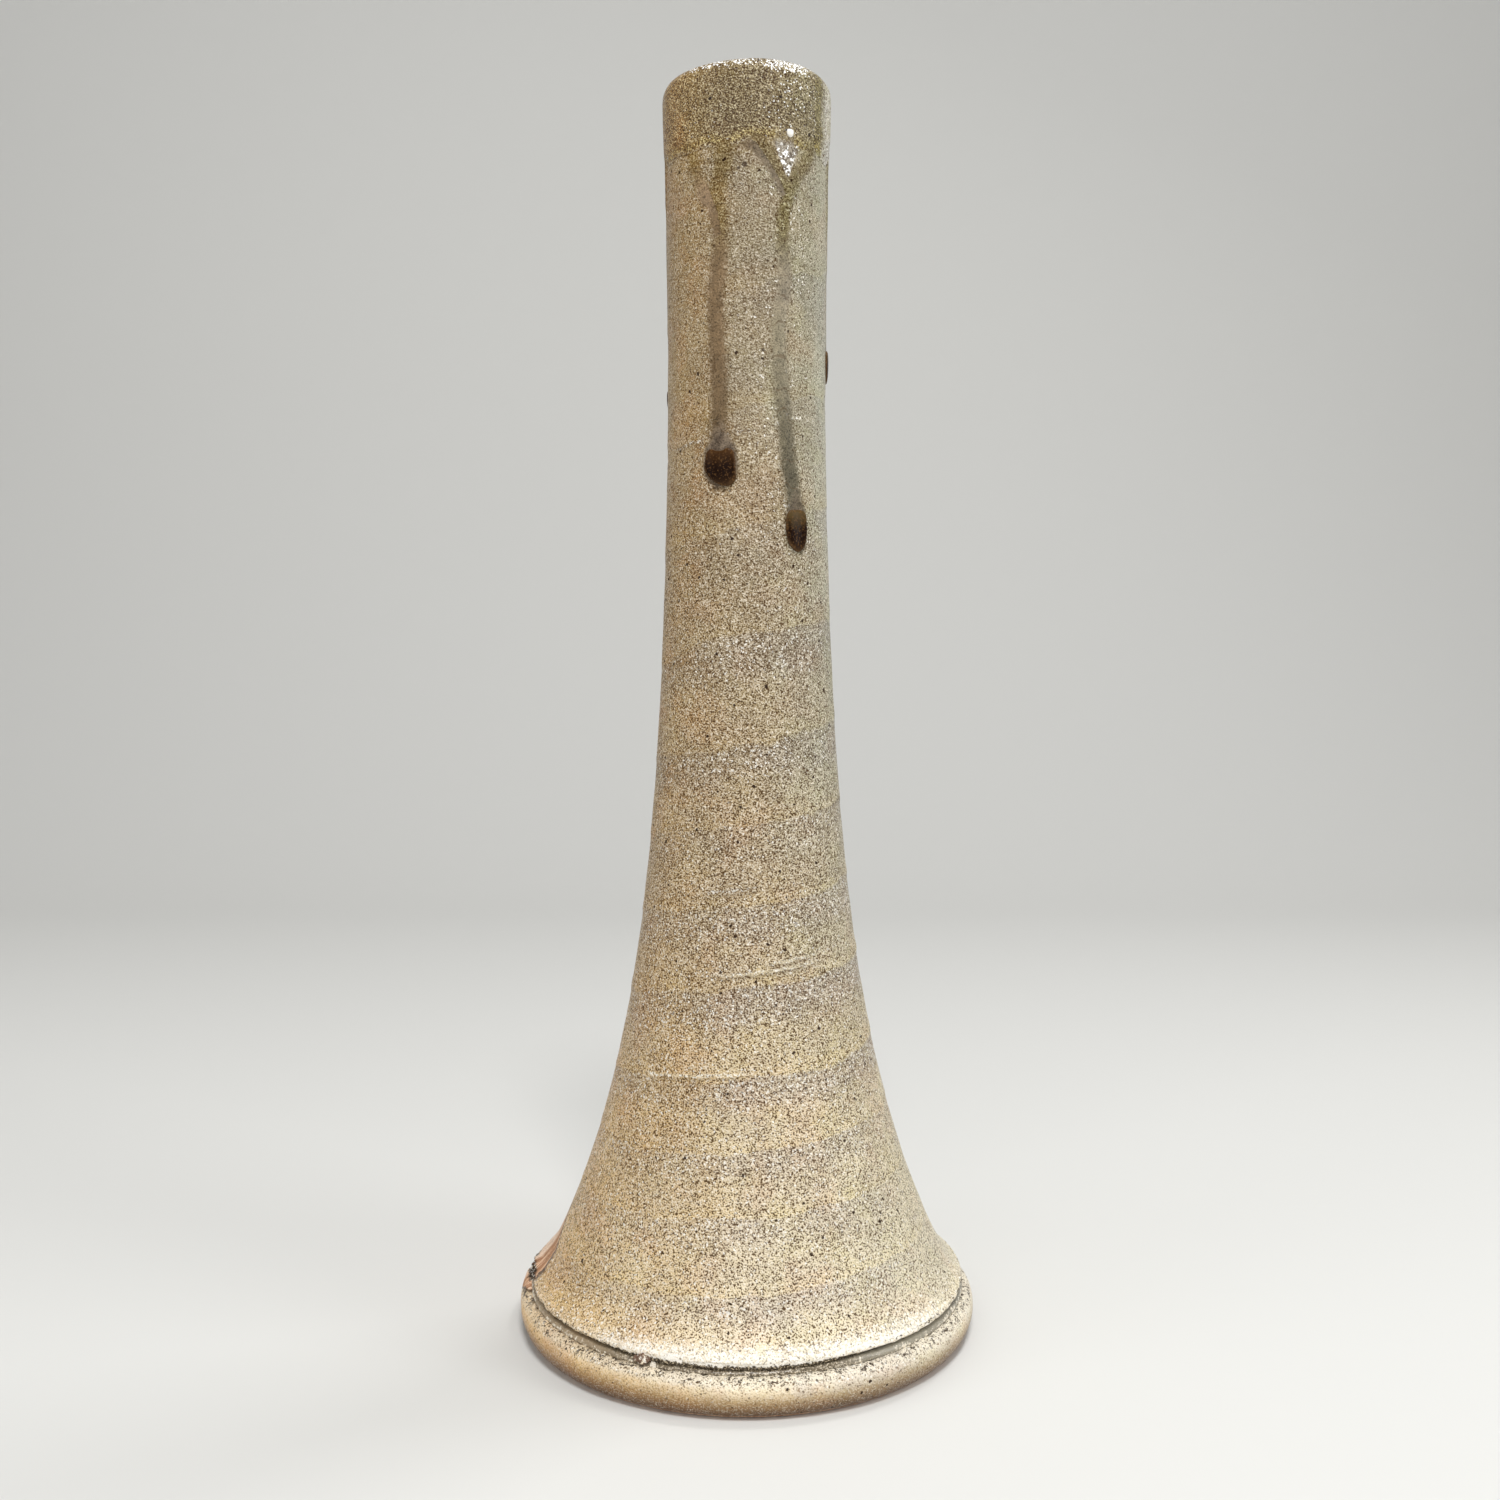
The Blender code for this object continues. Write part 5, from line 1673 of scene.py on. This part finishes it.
# %% Sweep
FLOOR_SIZE = 3.0
SWEEP_BACK = 1.1
SWEEP_RISE = 2.2
sweep = start_piece("studio_sweep", bpy.ops.mesh.primitive_plane_add, size=FLOOR_SIZE,
                    location=(0, SWEEP_BACK - FLOOR_SIZE / 2, 0))
bpy.ops.mesh.select_mode(type="EDGE")
bpy.ops.mesh.select_all(action="DESELECT")


def select_back_edge():
    """Selects the edge where the floor ends at the back, and goes into edit mode."""
    bpy.ops.object.mode_set(mode="OBJECT")
    for edge in sweep.data.edges:
        ends = [sweep.matrix_world @ sweep.data.vertices[index].co for index in edge.vertices]
        edge.select = all(end.y > SWEEP_BACK - 0.01 and end.z < 0.01 for end in ends)
    bpy.ops.object.mode_set(mode="EDIT")


select_back_edge()
bpy.ops.mesh.extrude_region_move(TRANSFORM_OT_translate={"value": (0, 0, SWEEP_RISE)})
select_back_edge()
bpy.ops.mesh.bevel(offset=0.5, segments=24)
bpy.ops.object.mode_set(mode="OBJECT")
bpy.ops.object.shade_smooth()
material, place = start_material("pale_sweep", Roughness=0.9, Specular_IOR_Level=0.2)
coat([sweep], material, color(221, 221, 218))

# %% [markdown]
# The light is soft and plain: a panel overhead, a small one behind that lights the rim, a large weak one by
# the camera, a tall window to the right that gives the glaze its glints, a weak panel on the left, and a
# pale world that fills the shadows.

# %% Lights
def add_panel(name, direction, distance, size, power, target=(0, 0, 0.15)):
    """A rectangular lamp that looks at the vase from a direction."""
    bpy.ops.object.light_add(type="AREA")
    lamp = bpy.context.object
    lamp.name = name
    lamp.data.shape = "RECTANGLE"
    lamp.data.size, lamp.data.size_y = size
    lamp.data.energy = power
    away = Vector(direction).normalized()
    lamp.location = Vector(target) + away * distance
    lamp.rotation_euler = away.to_track_quat("Z", "Y").to_euler()


add_panel("panel_overhead", (0.05, -0.52, 0.85), 1.2, (0.34, 0.26), 9.6)
add_panel("skylight_behind", (0.42, 0.28, 0.86), 0.8, (0.20, 0.14), 2.0, target=(0, 0, TOP))
add_panel("panel_by_camera", (-0.3, -0.9, 0.35), 1.6, (1.2, 1.0), 3.6)
add_panel("window_right", (0.87, -0.35, 0.34), 0.9, (0.34, 0.56), 2.5)
add_panel("panel_left", (-0.9, -0.4, 0.35), 1.3, (0.6, 0.9), 2.0)
world = bpy.data.worlds.new("pale_room")
bpy.context.scene.world = world
world.use_nodes = True
background = world.node_tree.nodes["Background"].inputs
background["Color"].default_value = (1.0, 0.99, 0.98, 1)
background["Strength"].default_value = 0.32

# %% [markdown]
# The camera stands close, a little above the middle of the vase, and looks slightly down, so that the
# mouth is seen from below its rim and the groove from above.

# %% Camera
CAMERA_PLACE = (0.79 * MM, -368.7 * MM, 163.6 * MM)
CAMERA_PITCH = 3.39
bpy.ops.object.camera_add(location=CAMERA_PLACE, rotation=(math.radians(90 - CAMERA_PITCH), 0, 0))
camera = bpy.context.object
camera.name = "front_camera"
camera.data.sensor_width = 36
camera.data.lens = 36
camera.data.clip_start = 0.01
scene = bpy.context.scene
scene.camera = camera
scene.view_settings.view_transform = "Standard"
